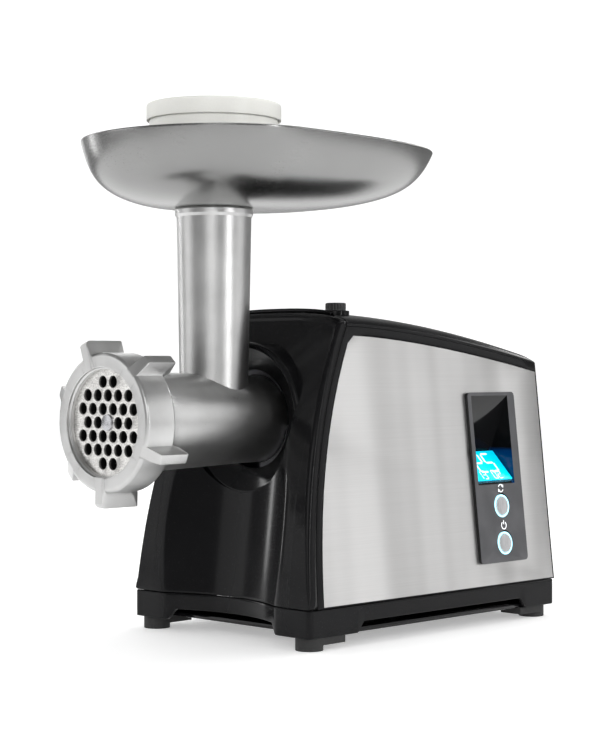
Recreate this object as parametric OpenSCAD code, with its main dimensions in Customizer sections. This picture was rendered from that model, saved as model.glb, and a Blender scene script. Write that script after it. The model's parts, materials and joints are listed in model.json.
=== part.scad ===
// Electric meat grinder: motor casing, bayonet cutting head, feed tray and pusher.
// +Z is up, the cutting plate faces -Y and the control panel is on +X.
// The origin is on the table, under the middle of the whole machine.

/* [Casing] */
// Width of the casing at its foot
body_w = 140.5; // [117:0.5:170]
// Length of the casing, front to back
body_len = 212; // [200:1:256]
// Height of the casing at its crown
body_h = 181; // [178:1:220]
// Lean of the side walls from the vertical
side_lean = 6.4; // [4:0.1:8]
// Wall thickness of the plastic covers
wall = 2.5; // [2:0.1:3]
// Height of the black foot skirt's top edge
skirt_top = 22; // [18:0.5:24]
// Thickness of the steel side panels
steel_t = 0.8; // [0.6:0.1:1]

/* [Cutting head] */
// Distance from the ring nut's front face to the casing's foot
head_reach = 83.2; // [82:0.1:100]
// Height of the drive axis above the table
axis_z = 121; // [117:0.5:123]
// Diameter of the cutting plate
plate_d = 62; // [61:0.5:63]
// Diameter of the holes in the cutting plate
hole_d = 6.3; // [4:0.1:7.5]
// Pitch of the holes in the cutting plate
hole_pitch = 8.2; // [8:0.1:8.6]
// Outer radius of the ring nut
ring_r = 36.5; // [36:0.5:42]
// Depth of the ring nut, front to back
ring_depth = 20.5; // [18:0.5:24]
// Outer radius of the feed tube's mouth
tube_r = 20.6; // [20:0.1:21]
// Inner radius of the feed tube
tube_bore = 17.2; // [16.5:0.1:17.5]

/* [Tray and pusher] */
// Width of the feed tray
tray_w = 150; // [125:1:180]
// Distance from the feed hole to the tray's front end
tray_front = 69.5; // [62:0.5:74]
// Distance from the feed hole to the tray's rear end
tray_rear = 145; // [121:1:174]
// Depth of the feed tray
tray_depth = 37.4; // [31:0.2:45]
// Height of the tray's rim above the table
rim_z = 274; // [268:1:285]
// Thickness of the tray's sheet
sheet = 1.3; // [1:0.1:1.6]
// Radius of the pusher's cap
cap_r = 37; // [36.5:0.5:44]
// Height of the pusher's cap
cap_h = 9.2; // [8:0.2:11]

/* [Controls] */
// Height of the control bezel
bezel_h = 100; // [90:1:104]
// Width of the control bezel
bezel_w = 43.5; // [40:0.5:52]
// Radius of the two buttons
button_r = 5.4; // [4.5:0.1:6.4]
// Travel of the two buttons
button_travel = 1; // [0.6:0.1:1.2]
// Travel of the head release knob
knob_travel = 4; // [2:0.5:5]

/* [Drive] */
// Gear module of the first stage
module_1 = 0.9; // [0.85:0.05:0.95]
// Gear module of the second stage
module_2 = 1.2; // [1.15:0.05:1.25]
// Teeth of both pinions
pinion_teeth = 12; // [12:1:12]
// Teeth of the layshaft wheel
wheel_teeth = 60; // [60:1:60]
// Teeth of the output wheel
output_teeth = 48; // [48:1:48]
// Height of the motor's axis above the table
motor_z = 72; // [70:0.5:74]
// Running clearance between a shaft and its bush
run_fit = 0.05; // [0.03:0.01:0.1]

/* [Hidden] */
$fn = 64;

gap = 0.3;
fit = 0.2;
far = 300;

// Stations along the machine, from the ring nut to the back wall.
front_y = -(head_reach + body_len) / 2;
rear_y = -front_y;
body_y = front_y + head_reach;
ring_lip = 5.2;
plate_y = front_y + ring_lip;
plate_t = 8;
knife_t = 5.5;
knife_y = plate_y + plate_t + gap;
screw_y = knife_y + knife_t + gap;
tube_y = front_y + 80.2;
boss_y = body_y + 19.2;
boss_r = 43;
lug_y = boss_y + 16;
gear_y = boss_y + 24;

// Heights of the casing's edges.
skirt_bottom = 7;
half_w = body_w / 2;
crown_rise = 8.5;
shoulder_z = body_h - crown_rise;
seam_w = 6;
strip_w = 5.2;
front_lean = 8;
front_curl = 33;
crown_fall = 22;
shoulder_fall = 20.5;

function half_at(z) = half_w - (z - skirt_top) * tan(side_lean);
function rise(z) = (z - skirt_top) / (shoulder_z - skirt_top + 1.5);
function front_at(z) = body_y + front_lean * rise(z) + front_curl * pow(max(rise(z), 0), 2.4);
function seam_at(z) = front_at(min(z, shoulder_z)) + seam_w;
seam_top_y = seam_at(shoulder_z);
function along(y) = max(0, (y - seam_top_y) / (rear_y - seam_top_y));
function crown_at(y) = body_h - crown_fall * pow(along(y), 1.9);
function shoulder_at(y) = shoulder_z - shoulder_fall * pow(along(y), 1.55);

// A wall section drawn in Y and Z, run right across the machine in X.
module across(points) {
    translate([-far / 2, 0, 0])
        rotate([90, 0, 90])
            linear_extrude(far)
                polygon(points);
}

// A flat shape drawn in X and Z, run from y0 to y1.
module run_y(y0, y1) {
    translate([0, y1, 0])
        rotate([90, 0, 0])
            linear_extrude(y1 - y0)
                children();
}

// A profile of [y, radius] points turned about the line through (x, z) along Y.
module turned(points, z = axis_z, x = 0) {
    translate([x, 0, z])
        rotate([90, 0, 0])
            rotate_extrude()
                polygon([for (p = points) [p[1], -p[0]]]);
}

// A round bar from y0 to y1.
module bar_y(y0, y1, r, z = axis_z, x = 0) {
    translate([x, y1, z])
        rotate([90, 0, 0])
            cylinder(h = y1 - y0, r = r);
}

// A closed skin over equal rings of points, capped at both ends.
module skin(rings) {
    n = len(rings[0]);
    m = len(rings);
    polyhedron(
        points = [for (ring = rings) for (p = ring) p],
        faces = concat(
            [[for (i = [n - 1:-1:0]) i]],
            [for (j = [0:m - 2]) for (i = [0:n - 1])
                [j * n + i, j * n + (i + 1) % n, (j + 1) * n + (i + 1) % n, (j + 1) * n + i]],
            [[for (i = [0:n - 1]) (m - 1) * n + i]]));
}

// A skin over rings that close on themselves, round a hole.
module ring_skin(rings) {
    n = len(rings[0]);
    m = len(rings);
    polyhedron(
        points = [for (ring = rings) for (p = ring) p],
        faces = [for (j = [0:m - 1]) for (i = [0:n - 1])
            [j * n + i, j * n + (i + 1) % n,
             ((j + 1) % m) * n + (i + 1) % n, ((j + 1) % m) * n + i]]);
}

// Crowned arch of the casing: a superellipse over the half width w, from z0 up to z1.
arch_power = 2 / 2.5;
function arch(w, z0, z1, steps = 20) = [for (i = [0:steps]) let (a = 180 * i / steps)
    [w * sign(cos(a)) * pow(abs(cos(a)), arch_power), z0 + (z1 - z0) * pow(sin(a), arch_power)]];

// Front view of the casing, inset by t on every side.
function casing_outline(t) = concat(
    [[half_at(skirt_top - 5) - t, skirt_top - 5]],
    arch(half_at(shoulder_z) - t, shoulder_z, body_h - t),
    [[-half_at(skirt_top - 5) + t, skirt_top - 5]]);

// The casing's leaning side walls without a crown, inset by t.
module leaning_block(t, y0, y1) {
    low = skirt_top - 5;
    high = body_h + 10;
    run_y(y0, y1)
        polygon([[-half_at(low) + t, low], [half_at(low) - t, low],
                 [half_at(high) - t, high], [-half_at(high) + t, high]]);
}

// ---------------------------------------------------------------- casing

arch_h = 6;
front_block = 26;
side_block = 37;
skirt_dip = 12;

// A wide upright groove that hollows the front between its two pillars.
module front_channel(depth) {
    chord = boss_r + 1;
    r = (chord * chord + depth * depth) / (2 * depth);
    intersection() {
        rotate([-atan((front_at(axis_z - 30) - body_y) / (axis_z - 30 - skirt_top)), 0, 0])
            translate([0, -r + depth, -40])
                cylinder(h = 200, r = r);
        translate([-chord - 5, -100, -skirt_top])
            cube([2 * chord + 10, 150, axis_z - 8]);
    }
}

module base_tray() {
    color("#17181a") difference() {
        translate([-half_w, body_y, skirt_bottom])
            cube([body_w, body_len, skirt_top - skirt_bottom]);
        translate([-half_w + wall, body_y + wall + skirt_dip, 0])
            cube([body_w - 2 * wall, body_len - 2 * wall - skirt_dip, far]);
        translate([0, body_y, skirt_top])
            front_channel(skirt_dip);
        translate([-half_w + front_block, body_y - 1, 0])
            cube([body_w - 2 * front_block, skirt_dip + 10, skirt_bottom + arch_h]);
        for (side = [-1, 1])
            translate([side * half_w - 5, body_y + side_block, 0])
                cube([10, body_len - 1.75 * side_block, skirt_bottom + arch_h]);
        translate([-half_w + front_block, rear_y - 5, 0])
            cube([body_w - 2 * front_block, 10, skirt_bottom + arch_h]);
    }
}

screw_x = half_w - 15;
screw_ys = [body_y + 34, rear_y - 14];
vent_pitch = 7;

module bottom_cover() {
    z0 = skirt_bottom;
    color("#1b1c1e") difference() {
        union() {
            translate([-half_w + wall + gap, body_y + wall + skirt_dip + gap, z0])
                cube([body_w - 2 * (wall + gap), body_len - 2 * wall - skirt_dip - 2 * gap, wall]);
            for (x = [-1, 1]) for (y = screw_ys)
                translate([x * screw_x, y, z0])
                    cylinder(h = skirt_top - z0, r = 6);
        }
        for (x = [-1, 1]) for (y = screw_ys) {
            translate([x * screw_x, y, 0])
                cylinder(h = far, r = 2.2);
            translate([x * screw_x, y, 0])
                cylinder(h = z0 + 6, r = 4);
        }
        for (x = [-1, 1]) for (i = [0:7])
            translate([x * 22 - 14, rear_y - 90 + i * vent_pitch, 0])
                cube([28, 3, far]);
    }
}

foot_r = 7.5;
foot_x = half_w - 9;
foot_rib = 20;
foot_step = 3;

module rubber_feet() {
    color("#202123")
        for (x = [-1, 1]) for (end = [-1, 1])
            translate([x * foot_x, end < 0 ? body_y + 9 : rear_y - 11, 0]) {
                cylinder(h = skirt_bottom, r = foot_r);
                translate([-foot_r, end < 0 ? 0 : -foot_rib, foot_step])
                    cube([2 * foot_r, foot_rib, skirt_bottom - foot_step]);
            }
}

// The boss round the head is a dish that falls back to the socket's mouth.
dish = 7.5;
mouth_r = 27.5;

// Side view of the front cover, set in by t and run on past its seam by past.
function front_side_view(t, past) = concat(
    [for (z = [skirt_top + gap - (past > 0 ? 9 : 0):10:shoulder_z - 2]) [front_at(z) + t, z]],
    [[front_at(shoulder_z) + t, shoulder_z + 0.3],
     [front_at(shoulder_z) + 1.4 + t, body_h - 4 - t / 2],
     [front_at(shoulder_z) + 3.2 + t, body_h - 1.2 - t],
     [front_at(shoulder_z) + 5 + t, body_h - t],
     [seam_top_y + past, body_h - t]],
    [for (z = [shoulder_z:-10:skirt_top + 10]) [seam_at(z) + past, z]],
    [[seam_at(skirt_top) + past, skirt_top + gap - (past > 0 ? 9 : 0)]]);

module front_cover() {
    color("#131416") difference() {
        union() {
            difference() {
                intersection() {
                    across(front_side_view(0, 0));
                    run_y(body_y - 1, seam_top_y + 1) polygon(casing_outline(0));
                }
                translate([0, body_y, skirt_top])
                    front_channel(skirt_dip);
                intersection() {
                    across(front_side_view(wall, 30));
                    run_y(body_y - 1, seam_top_y + 40) polygon(casing_outline(wall));
                }
            }
            intersection() {
                difference() {
                    translate([0, body_y + wall, skirt_top])
                        front_channel(skirt_dip);
                    translate([0, body_y, skirt_top])
                        front_channel(skirt_dip);
                    translate([-far, -far, skirt_top + gap - far])
                        cube([2 * far, 2 * far, far]);
                }
                across(front_side_view(0, 30));
            }
            turned([[boss_y, 0], [boss_y, boss_r - 2.4], [boss_y + 0.8, boss_r - 0.9],
                    [boss_y + 2.8, boss_r], [boss_y + 21, boss_r], [boss_y + 21, 0]]);
        }
        turned([[body_y - 5, 0], [body_y - 5, boss_r - 3.4], [boss_y + 0.3, boss_r - 3.4],
                [boss_y + dish, mouth_r], [boss_y + dish + 2, mouth_r],
                [boss_y + dish + 2, boss_r - wall - 2], [boss_y + 30, boss_r - wall - 2],
                [boss_y + 30, 0]]);
        translate([knob_x - latch_w / 2 - fit - gap, lug_y, latch_foot_z - knob_travel - gap])
            cube([latch_w + 2 * (fit + gap), 20, arm_z + gap - latch_foot_z + knob_travel + gap]);
    }
}

// Side view of the main shell behind the front seam and below the crowned cover.
function shell_side_view() = concat(
    [for (z = [skirt_top + gap:10:shoulder_z - 3]) [seam_at(z) + gap, z]],
    [for (i = [0:12]) let (y = seam_top_y + gap + (rear_y - seam_top_y - gap) * i / 12)
        [y, shoulder_at(y) - gap]],
    [[rear_y, skirt_top + gap]]);

// Side view of the steel panel, grown by t for its recess.
function panel_side_view(t) = concat(
    [for (z = [skirt_top + 1 - t:10:shoulder_z - strip_w - 4]) [seam_at(z) + strip_w - t, z]],
    [for (i = [0:12])
        let (y0 = seam_top_y + strip_w, y = y0 - t + (rear_y - 1 - y0 + 2 * t) * i / 12)
        [y, shoulder_at(y) - strip_w + t]],
    [[rear_y - 1 + t, skirt_top + 1 - t]]);

module panel_slab(side, inset, thick, t) {
    intersection() {
        across(panel_side_view(t));
        difference() {
            leaning_block(inset, body_y, rear_y + 1);
            leaning_block(inset + thick, body_y - 1, rear_y + 2);
        }
        translate([side > 0 ? 0 : -far, -far, 0])
            cube([far, 2 * far, far]);
    }
}

post_h = 30;
bezel_z = 35.5;
bezel_y = rear_y - 70;
bezel_lip = 1.4;
recess_z0 = bezel_z + 45.2;
recess_z1 = bezel_z + bezel_h - 1.6;
recess_deep_z = bezel_z + 66.4;
recess_depth = 16;
button_zs = [bezel_z + 11.3, bezel_z + 33];
button_y = bezel_y + bezel_w / 2 + 1.5;

// Places children on the right wall's outer face: local X is outward, local Y and Z lie in it.
module on_right_wall(z = skirt_top) {
    translate([half_at(z), 0, z])
        rotate([0, -side_lean, 0])
            children();
}

// Height up the leaning wall of a point at height z.
function slant(z) = (z - skirt_top) / cos(side_lean);

module main_shell() {
    color("#131416") difference() {
        union() {
            difference() {
                intersection() {
                    across(shell_side_view());
                    leaning_block(0, body_y, rear_y);
                }
                leaning_block(wall + steel_t, body_y - 1, rear_y - wall);
                panel_slab(1, -1, steel_t + 1.1, 0.1);
                panel_slab(-1, -1, steel_t + 1.1, 0.1);
            }
            for (x = [-1, 1]) for (y = screw_ys)
                translate([x * screw_x, y, skirt_top + gap])
                    cylinder(h = post_h, r = 5);
            for (x = [-1, 1]) for (y = screw_ys)
                translate([x > 0 ? screw_x : -half_at(40) + 2, y - 2, skirt_top + gap])
                    cube([half_at(40) - screw_x - 2, 4, post_h]);
        }
        on_right_wall()
            translate([-10, bezel_y + bezel_lip, slant(bezel_z) + bezel_lip])
                cube([20, bezel_w - 2 * bezel_lip, bezel_h - 2 * bezel_lip]);
        for (x = [-1, 1]) for (y = screw_ys)
            translate([x * screw_x, y, 0])
                cylinder(h = skirt_top + post_h - 6, r = 1.6);
        for (i = [0:9])
            translate([-31.5 + i * vent_pitch - 1.5, rear_y - 10, 85])
                cube([3, 20, 45]);
        translate([-inlet_w / 2 - fit, rear_y - 10, inlet_z - fit])
            cube([inlet_w + 2 * fit, 20, inlet_h + 2 * fit]);
    }
}

cover_steps = 14;
function cover_y(i, y0, y1) = y0 + (y1 - y0) * sin(90 * i / cover_steps);

// One arch across the crowned cover; the last stations roll over to the back wall.
function cover_ring(y, t, low) = let (
        roll = 1 - 0.35 * pow(max(0, 1 - (rear_y - y) / 8), 2),
        z0 = shoulder_at(y),
        w = half_at(z0) - t)
    [for (p = arch(w, z0 - low, z0 + (crown_at(y) - z0) * roll - t)) [p[0], y, p[1]]];

module top_cover() {
    color("#0f1012") difference() {
        union() {
            difference() {
                skin([for (i = [0:cover_steps])
                    cover_ring(cover_y(i, seam_top_y + gap, rear_y), 0, 0)]);
                skin([for (i = [0:cover_steps])
                    cover_ring(cover_y(i, seam_top_y - 3, rear_y - wall), wall, 3)]);
            }
            translate([knob_x, knob_y, collar_z - collar_h])
                cylinder(h = collar_h, r = knob_r + collar_t);
        }
        translate([knob_x, knob_y, body_h - 25])
            cylinder(h = 50, r = knob_r + gap);
    }
}

module steel_panel_right() {
    color("#b9babb") difference() {
        panel_slab(1, 0, steel_t, 0);
        on_right_wall()
            translate([-10, bezel_y + bezel_lip - 0.4, slant(bezel_z) + bezel_lip - 0.4])
                cube([20, bezel_w - 2 * bezel_lip + 0.8, bezel_h - 2 * bezel_lip + 0.8]);
    }
}

module steel_panel_left() {
    color("#b9babb") panel_slab(-1, 0, steel_t, 0);
}

// ---------------------------------------------------------------- controls

bezel_front = 2.2;

module bezel_outline(r = 2.5) {
    translate([bezel_y + r, slant(bezel_z) + r])
        square([bezel_w - 2 * r, bezel_h - 2 * r]);
    translate([bezel_y, slant(bezel_z) + r])
        square([bezel_w, bezel_h - 2 * r]);
    translate([bezel_y + r, slant(bezel_z)])
        square([bezel_w - 2 * r, bezel_h]);
    for (y = [bezel_y + r, bezel_y + bezel_w - r])
        for (z = [slant(bezel_z) + r, slant(bezel_z) + bezel_h - r])
            translate([y, z])
                circle(r);
}

// Wedge of the display recess, in the wall's own plane, from depth d at its fold.
module recess_wedge(y0, y1, grow) {
    translate([0, y1, 0])
        rotate([90, 0, 0])
            linear_extrude(y1 - y0)
                polygon([[bezel_front + 1, slant(recess_z0) - grow - 1.2],
                         [bezel_front - recess_depth - grow, slant(recess_deep_z)],
                         [bezel_front + 1, slant(recess_z1) + grow + 1.2]]);
}

recess_wall = 1.4;
recess_y0 = bezel_y + 3.2;
recess_y1 = bezel_y + bezel_w - 6.5;

module control_bezel() {
    color("#232427") on_right_wall() difference() {
        union() {
            translate([gap / 3, 0, 0])
                rotate([90, 0, 90])
                    linear_extrude(bezel_front - gap / 3)
                        bezel_outline();
            difference() {
                recess_wedge(recess_y0 - recess_wall, recess_y1 + recess_wall, recess_wall + 0.2);
                translate([gap, -far, -far])
                    cube([far, 2 * far, 2 * far]);
            }
            for (z = button_zs)
                translate([-3, button_y, slant(z)])
                    rotate([0, 90, 0])
                        cylinder(h = 4, r = button_r + 3.4);
        }
        recess_wedge(recess_y0, recess_y1, 0);
        for (z = button_zs) {
            translate([-20, button_y, slant(z)])
                rotate([0, 90, 0])
                    cylinder(h = 40, r = button_r + fit);
            translate([0.6, button_y, slant(z)])
                rotate([0, 90, 0])
                    cylinder(h = 4, r = button_r + 1.8);
        }
    }
}

// The display lies on the recess's lower face, which looks up and outwards.
module on_display() {
    rise_z = slant(recess_deep_z) - slant(recess_z0) + 1.2;
    run_x = recess_depth + 1;
    on_right_wall()
        translate([bezel_front - recess_depth, 0, slant(recess_deep_z)])
            rotate([0, 180 - atan(run_x / rise_z), 0])
                children();
}

display_len = 22;

module display_module() {
    color("#2fc4e6") on_display()
        translate([-1.5, recess_y0 + 1.2, 2])
            cube([0.9, recess_y1 - recess_y0 - 2.4, display_len]);
}

module display_window() {
    color("#1a2a38") on_display()
        translate([-0.5, recess_y0 + gap, 1])
            cube([0.4, recess_y1 - recess_y0 - 2 * gap, display_len + 2]);
}

module button_light_rings() {
    color("#8fdcf5") on_right_wall()
        for (z = button_zs)
            translate([0.7, button_y, slant(z)])
                rotate([0, 90, 0])
                    difference() {
                        cylinder(h = 1.6, r = button_r + 1.6);
                        translate([0, 0, -1])
                            cylinder(h = 4, r = button_r + fit);
                    }
}

module push_button(z) {
    on_right_wall()
        translate([0, button_y, slant(z)])
            rotate([0, 90, 0]) {
                translate([0, 0, -4.5])
                    cylinder(h = 4.5 + 2.6, r = button_r);
                translate([0, 0, -5.5])
                    cylinder(h = 1, r = button_r + 1);
            }
}

module reverse_button() {
    color("#c3c7cb") push_button(button_zs[1]);
}

module power_button() {
    color("#c3c7cb") push_button(button_zs[0]);
}

board_depth = -(8 + button_travel);

module control_board() {
    color("#1d5a35") on_right_wall() {
        translate([board_depth - 1.6, bezel_y + 4, slant(bezel_z) + 2.5])
            cube([1.6, bezel_w - 8, 41]);
        for (z = button_zs) {
            translate([board_depth, button_y - 3, slant(z) - 3])
                cube([1.5, 6, 6]);
            translate([board_depth + 1.5, button_y, slant(z)])
                rotate([0, 90, 0])
                    cylinder(h = 0.9, r = 1.7);
        }
    }
}

module power_board() {
    color("#1d5a35") {
        translate([-48, rear_y - 75, skirt_top + 12])
            cube([1.6, 60, 55]);
        for (i = [0:2])
            translate([-46.4, rear_y - 70 + i * 18, skirt_top + 22])
                cube([9, 13, 16]);
    }
}

inlet_w = 24;
inlet_h = 18;
inlet_z = 34;

module power_inlet() {
    color("#0c0c0d") difference() {
        union() {
            translate([-inlet_w / 2, rear_y - 16, inlet_z])
                cube([inlet_w, 16, inlet_h]);
            translate([-inlet_w / 2 - 3, rear_y - wall - 2.5, inlet_z - 3])
                cube([inlet_w + 6, 2.2, inlet_h + 6]);
        }
        translate([-inlet_w / 2 + 2.5, rear_y - 12, inlet_z + 2.5])
            cube([inlet_w - 5, 20, inlet_h - 5]);
    }
}

// ---------------------------------------------------------------- head release

knob_x = 30;
knob_y = boss_y + 43;
knob_r = 5.8;

module lock_knob() {
    color("#191a1c") translate([knob_x, knob_y, latch_top]) difference() {
        cylinder(h = collar_z + knob_travel + 0.4 - latch_top, r = knob_r);
        for (a = [0:30:330])
            rotate(a)
                translate([knob_r + 0.6, 0, collar_z - latch_top])
                    cylinder(h = knob_travel - 0.8, r = 0.9);
    }
}

collar_z = crown_at(knob_y) + 0.8;
collar_h = 4;
collar_t = 1.9;
latch_top = crown_at(knob_y) - 5;
arm_z = latch_top - 18;
arm_t = 4;
latch_w = 6;
latch_stem_r = 2.5;
latch_foot_z = axis_z + 22;

// The bar under the knob reaches forward and down to the head's bayonet lug.
module latch_bar() {
    color("#d8d4c8") {
        translate([knob_x, knob_y, arm_z])
            cylinder(h = latch_top - arm_z, r = latch_stem_r);
        translate([knob_x - latch_w / 2, lug_y + 0.6, arm_z - arm_t])
            cube([latch_w, knob_y - lug_y + 3, arm_t]);
        translate([knob_x - latch_w / 2, lug_y + 0.6, latch_foot_z])
            cube([latch_w, 4, arm_z - arm_t - latch_foot_z]);
    }
}

module latch_guide() {
    color("#55585c") difference() {
        union() {
            translate([knob_x, knob_y, arm_z + 6 - 1])
                cylinder(h = 3, r = 9);
            translate([knob_x, knob_y - 3, arm_z + 5])
                cube([half_at(arm_z) - knob_x - wall - steel_t - 1.2, 6, 3]);
        }
        translate([knob_x, knob_y, 0])
            cylinder(h = far, r = latch_stem_r + fit);
    }
}

spring_turns = 4;

module latch_spring() {
    r = 4.1;
    wire = 0.45;
    z0 = arm_z + 8;
    z1 = latch_top - wire;
    steps = 16;
    count = spring_turns * steps;
    rings = [for (i = [0:count]) let (a = 360 * i / steps, z = z0 + wire + (z1 - z0 - wire) * i / count)
        [for (k = [0:5]) let (b = 60 * k)
            [knob_x + (r + wire * cos(b)) * cos(a), knob_y + (r + wire * cos(b)) * sin(a),
             z + wire * sin(b)]]];
    color("#c9cdd1") skin(rings);
}

// ---------------------------------------------------------------- gear train

stage_1 = module_1 * (pinion_teeth + wheel_teeth) / 2;
stage_2 = module_2 * (pinion_teeth + output_teeth) / 2;
drop = axis_z - motor_z;
lay_dz = (stage_1 * stage_1 - stage_2 * stage_2 + drop * drop) / (2 * drop);
lay_z = motor_z + lay_dz;
lay_x = -sqrt(stage_1 * stage_1 - lay_dz * lay_dz);
to_output = atan2(axis_z - lay_z, -lay_x);
to_motor = atan2(motor_z - lay_z, -lay_x);
face_2 = 10;
face_1 = 7;
case_y0 = gear_y;
case_y1 = gear_y + 34;
output_y0 = gear_y + 6;
wheel_y0 = gear_y + 22;

pressure = 20;
function inv(a) = tan(a) * 180 / PI - a;
// Half the angle that a tooth spans at radius r, for n teeth of module m.
function tooth_half(n, m, r) = let (
        base = n * m / 2 * cos(pressure),
        half = 90 / n - 0.06 * 180 / PI / (n * m / 2) + inv(pressure))
    r <= base ? half : half - inv(acos(base / r));

// Involute spur gear; tip is the addendum in modules.
module gear(n, m, tip) {
    pitch_r = n * m / 2;
    root = pitch_r - 1.3 * m;
    mid = max(root + 0.2 * m, pitch_r * cos(pressure));
    rs = [root, mid, pitch_r, pitch_r + tip * m];
    polygon([for (i = [0:n - 1]) for (k = [0:7]) let (
            up = k < 4,
            r = rs[up ? k : 7 - k],
            a = 360 * i / n + (up ? -1 : 1) * tooth_half(n, m, r))
        [r * cos(a), r * sin(a)]]);
}

module gear_at(x, z, turn, n, m, tip, y0, y1, bore) {
    translate([x, y1, z])
        rotate([90, 0, 0])
            linear_extrude(y1 - y0)
                difference() {
                    rotate(turn) gear(n, m, tip);
                    if (bore > 0) circle(bore);
                }
}

shaft_r = 7;
lay_r = 4;
motor_r = 3;

module output_wheel() {
    color("#e4ddc8")
        gear_at(0, axis_z, to_output + 180, output_teeth, module_2, 0.7,
            output_y0, output_y0 + face_2, shaft_r + 0.01);
}

drum_r = 12;
drum_y0 = boss_y + 8;
square_w = 11;

module output_shaft() {
    color("#9fa3a8") difference() {
        union() {
            bar_y(drum_y0, gear_y - 1, drum_r);
            bar_y(gear_y - 2, case_y1 + 1, shaft_r);
        }
        translate([-square_w / 2 - fit, drum_y0 - 1, axis_z - square_w / 2 - fit])
            cube([square_w + 2 * fit, 15, square_w + 2 * fit]);
    }
}

module layshaft_wheel() {
    color("#e4ddc8")
        gear_at(lay_x, lay_z, to_motor, wheel_teeth, module_1, 0.7,
            wheel_y0, wheel_y0 + face_1, lay_r + 0.01);
}

module layshaft() {
    color("#9fa3a8") {
        bar_y(case_y0 + case_wall + gap, case_y1 + 1, lay_r, lay_z, lay_x);
        gear_at(lay_x, lay_z, to_output + 180 / pinion_teeth, pinion_teeth, module_2, 1,
            output_y0 - 1, output_y0 + face_2 + 1, 0);
    }
}

case_wall = 2.5;

module case_outline(t) {
    translate([0, axis_z])
        circle(module_2 * output_teeth / 2 + 4.5 - t);
    translate([lay_x, lay_z])
        circle(module_1 * wheel_teeth / 2 + 5 - t);
    translate([0, motor_z])
        circle(14 - t);
}

bush_t = 1.5;

module gearbox_case() {
    color("#6f7378") difference() {
        run_y(case_y0, case_y1 - case_wall - 0.1) case_outline(0);
        run_y(case_y0 + case_wall, case_y1) case_outline(case_wall);
        bar_y(case_y0 - 1, case_y0 + 5, shaft_r + bush_t);
    }
}

module gearbox_cover() {
    color("#6f7378") difference() {
        run_y(case_y1 - case_wall, case_y1) case_outline(0);
        bar_y(case_y1 - 5, case_y1 + 1, shaft_r + bush_t);
        bar_y(case_y1 - 5, case_y1 + 1, lay_r + bush_t, lay_z, lay_x);
        bar_y(case_y1 - 5, case_y1 + 1, 7, motor_z);
    }
}

module bush(x, z, y0, y1, r) {
    turned([[y0, r + run_fit], [y0, r + bush_t], [y1, r + bush_t], [y1, r + run_fit]], z, x);
}

module gear_bushes() {
    color("#b08d4a") {
        bush(0, axis_z, case_y0, case_y0 + 4, shaft_r);
        bush(0, axis_z, case_y1 - case_wall - 1.5, case_y1, shaft_r);
        bush(lay_x, lay_z, case_y0 + case_wall, case_y0 + case_wall + 2, lay_r);
        bush(lay_x, lay_z, case_y1 - case_wall - 1, case_y1, lay_r);
    }
}

// Screws that close the gearbox, in ears round its edge.
module gearbox_screws() {
    color("#c9cdd1")
        for (p = [[module_2 * output_teeth / 2 + 1, axis_z], [0, axis_z + 30],
                  [lay_x - 27, lay_z]])
            bar_y(case_y1 + 0.1, case_y1 + 2.4, 2.6, p[1], p[0]);
}

// ---------------------------------------------------------------- motor

pack_y0 = case_y1 + 16;
pack_len = 38;
pack_y1 = pack_y0 + pack_len;
pack_w = 62;
rotor_r = 17;
stator_bore = 17.6;
comm_y0 = pack_y1 + 12;
fan_y0 = comm_y0 + 24;

module motor_shaft() {
    color("#9fa3a8") {
        bar_y(wheel_y0 - 1, fan_y0 + 14, motor_r, motor_z);
        gear_at(0, motor_z, to_motor + 180 + 180 / pinion_teeth, pinion_teeth, module_1, 1,
            wheel_y0 - 1, wheel_y0 + face_1 + 1, 0);
    }
}

module motor_rotor() {
    color("#7d5a3a") turned([[pack_y0 - 8, motor_r + 0.01], [pack_y0 - 8, 11], [pack_y0, 14],
        [pack_y0, rotor_r], [pack_y1, rotor_r], [pack_y1, 14], [pack_y1 + 8, 11],
        [pack_y1 + 8, motor_r + 0.01]], motor_z);
}

module motor_commutator() {
    color("#b5713b") difference() {
        turned([[comm_y0 - 2, motor_r + 0.01], [comm_y0 - 2, 9.5], [comm_y0, 9.5], [comm_y0, 8.5],
            [comm_y0 + 11, 8.5], [comm_y0 + 11, motor_r + 0.01]], motor_z);
        for (a = [0:30:330])
            translate([0, comm_y0 + 5, motor_z])
                rotate([0, a, 0])
                    translate([-0.3, -4, 8])
                        cube([0.6, 12, 2]);
    }
}

module motor_fan() {
    color("#2b2c2e") {
        turned([[fan_y0, motor_r + 0.01], [fan_y0, 24], [fan_y0 + 1.5, 24], [fan_y0 + 1.5, 7],
            [fan_y0 + 10, 6], [fan_y0 + 10, motor_r + 0.01]], motor_z);
        for (a = [0:30:330])
            translate([0, fan_y0 + 1.4, motor_z])
                rotate([0, a, 0])
                    translate([-0.7, 0, 5])
                        cube([1.4, 8, 18.5]);
    }
}

module motor_stator() {
    color("#8b8e92") difference() {
        run_y(pack_y0, pack_y1)
            translate([-pack_w / 2, motor_z - pack_w / 2 + 4])
                square([pack_w, pack_w - 8]);
        bar_y(pack_y0 - 1, pack_y1 + 1, stator_bore, motor_z);
        for (x = [-1, 1])
            translate([x * 22.5 - 4, pack_y0 - 1, motor_z - 12])
                cube([8, pack_len + 2, 24]);
    }
}

module motor_windings() {
    color("#a8572a")
        for (x = [-1, 1])
            translate([x * 22.5 - 3.7, pack_y0 - 7, motor_z - 11.7])
                cube([7.4, pack_len + 14, 23.4]);
}

frame_w = pack_w + 6.4;

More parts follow.
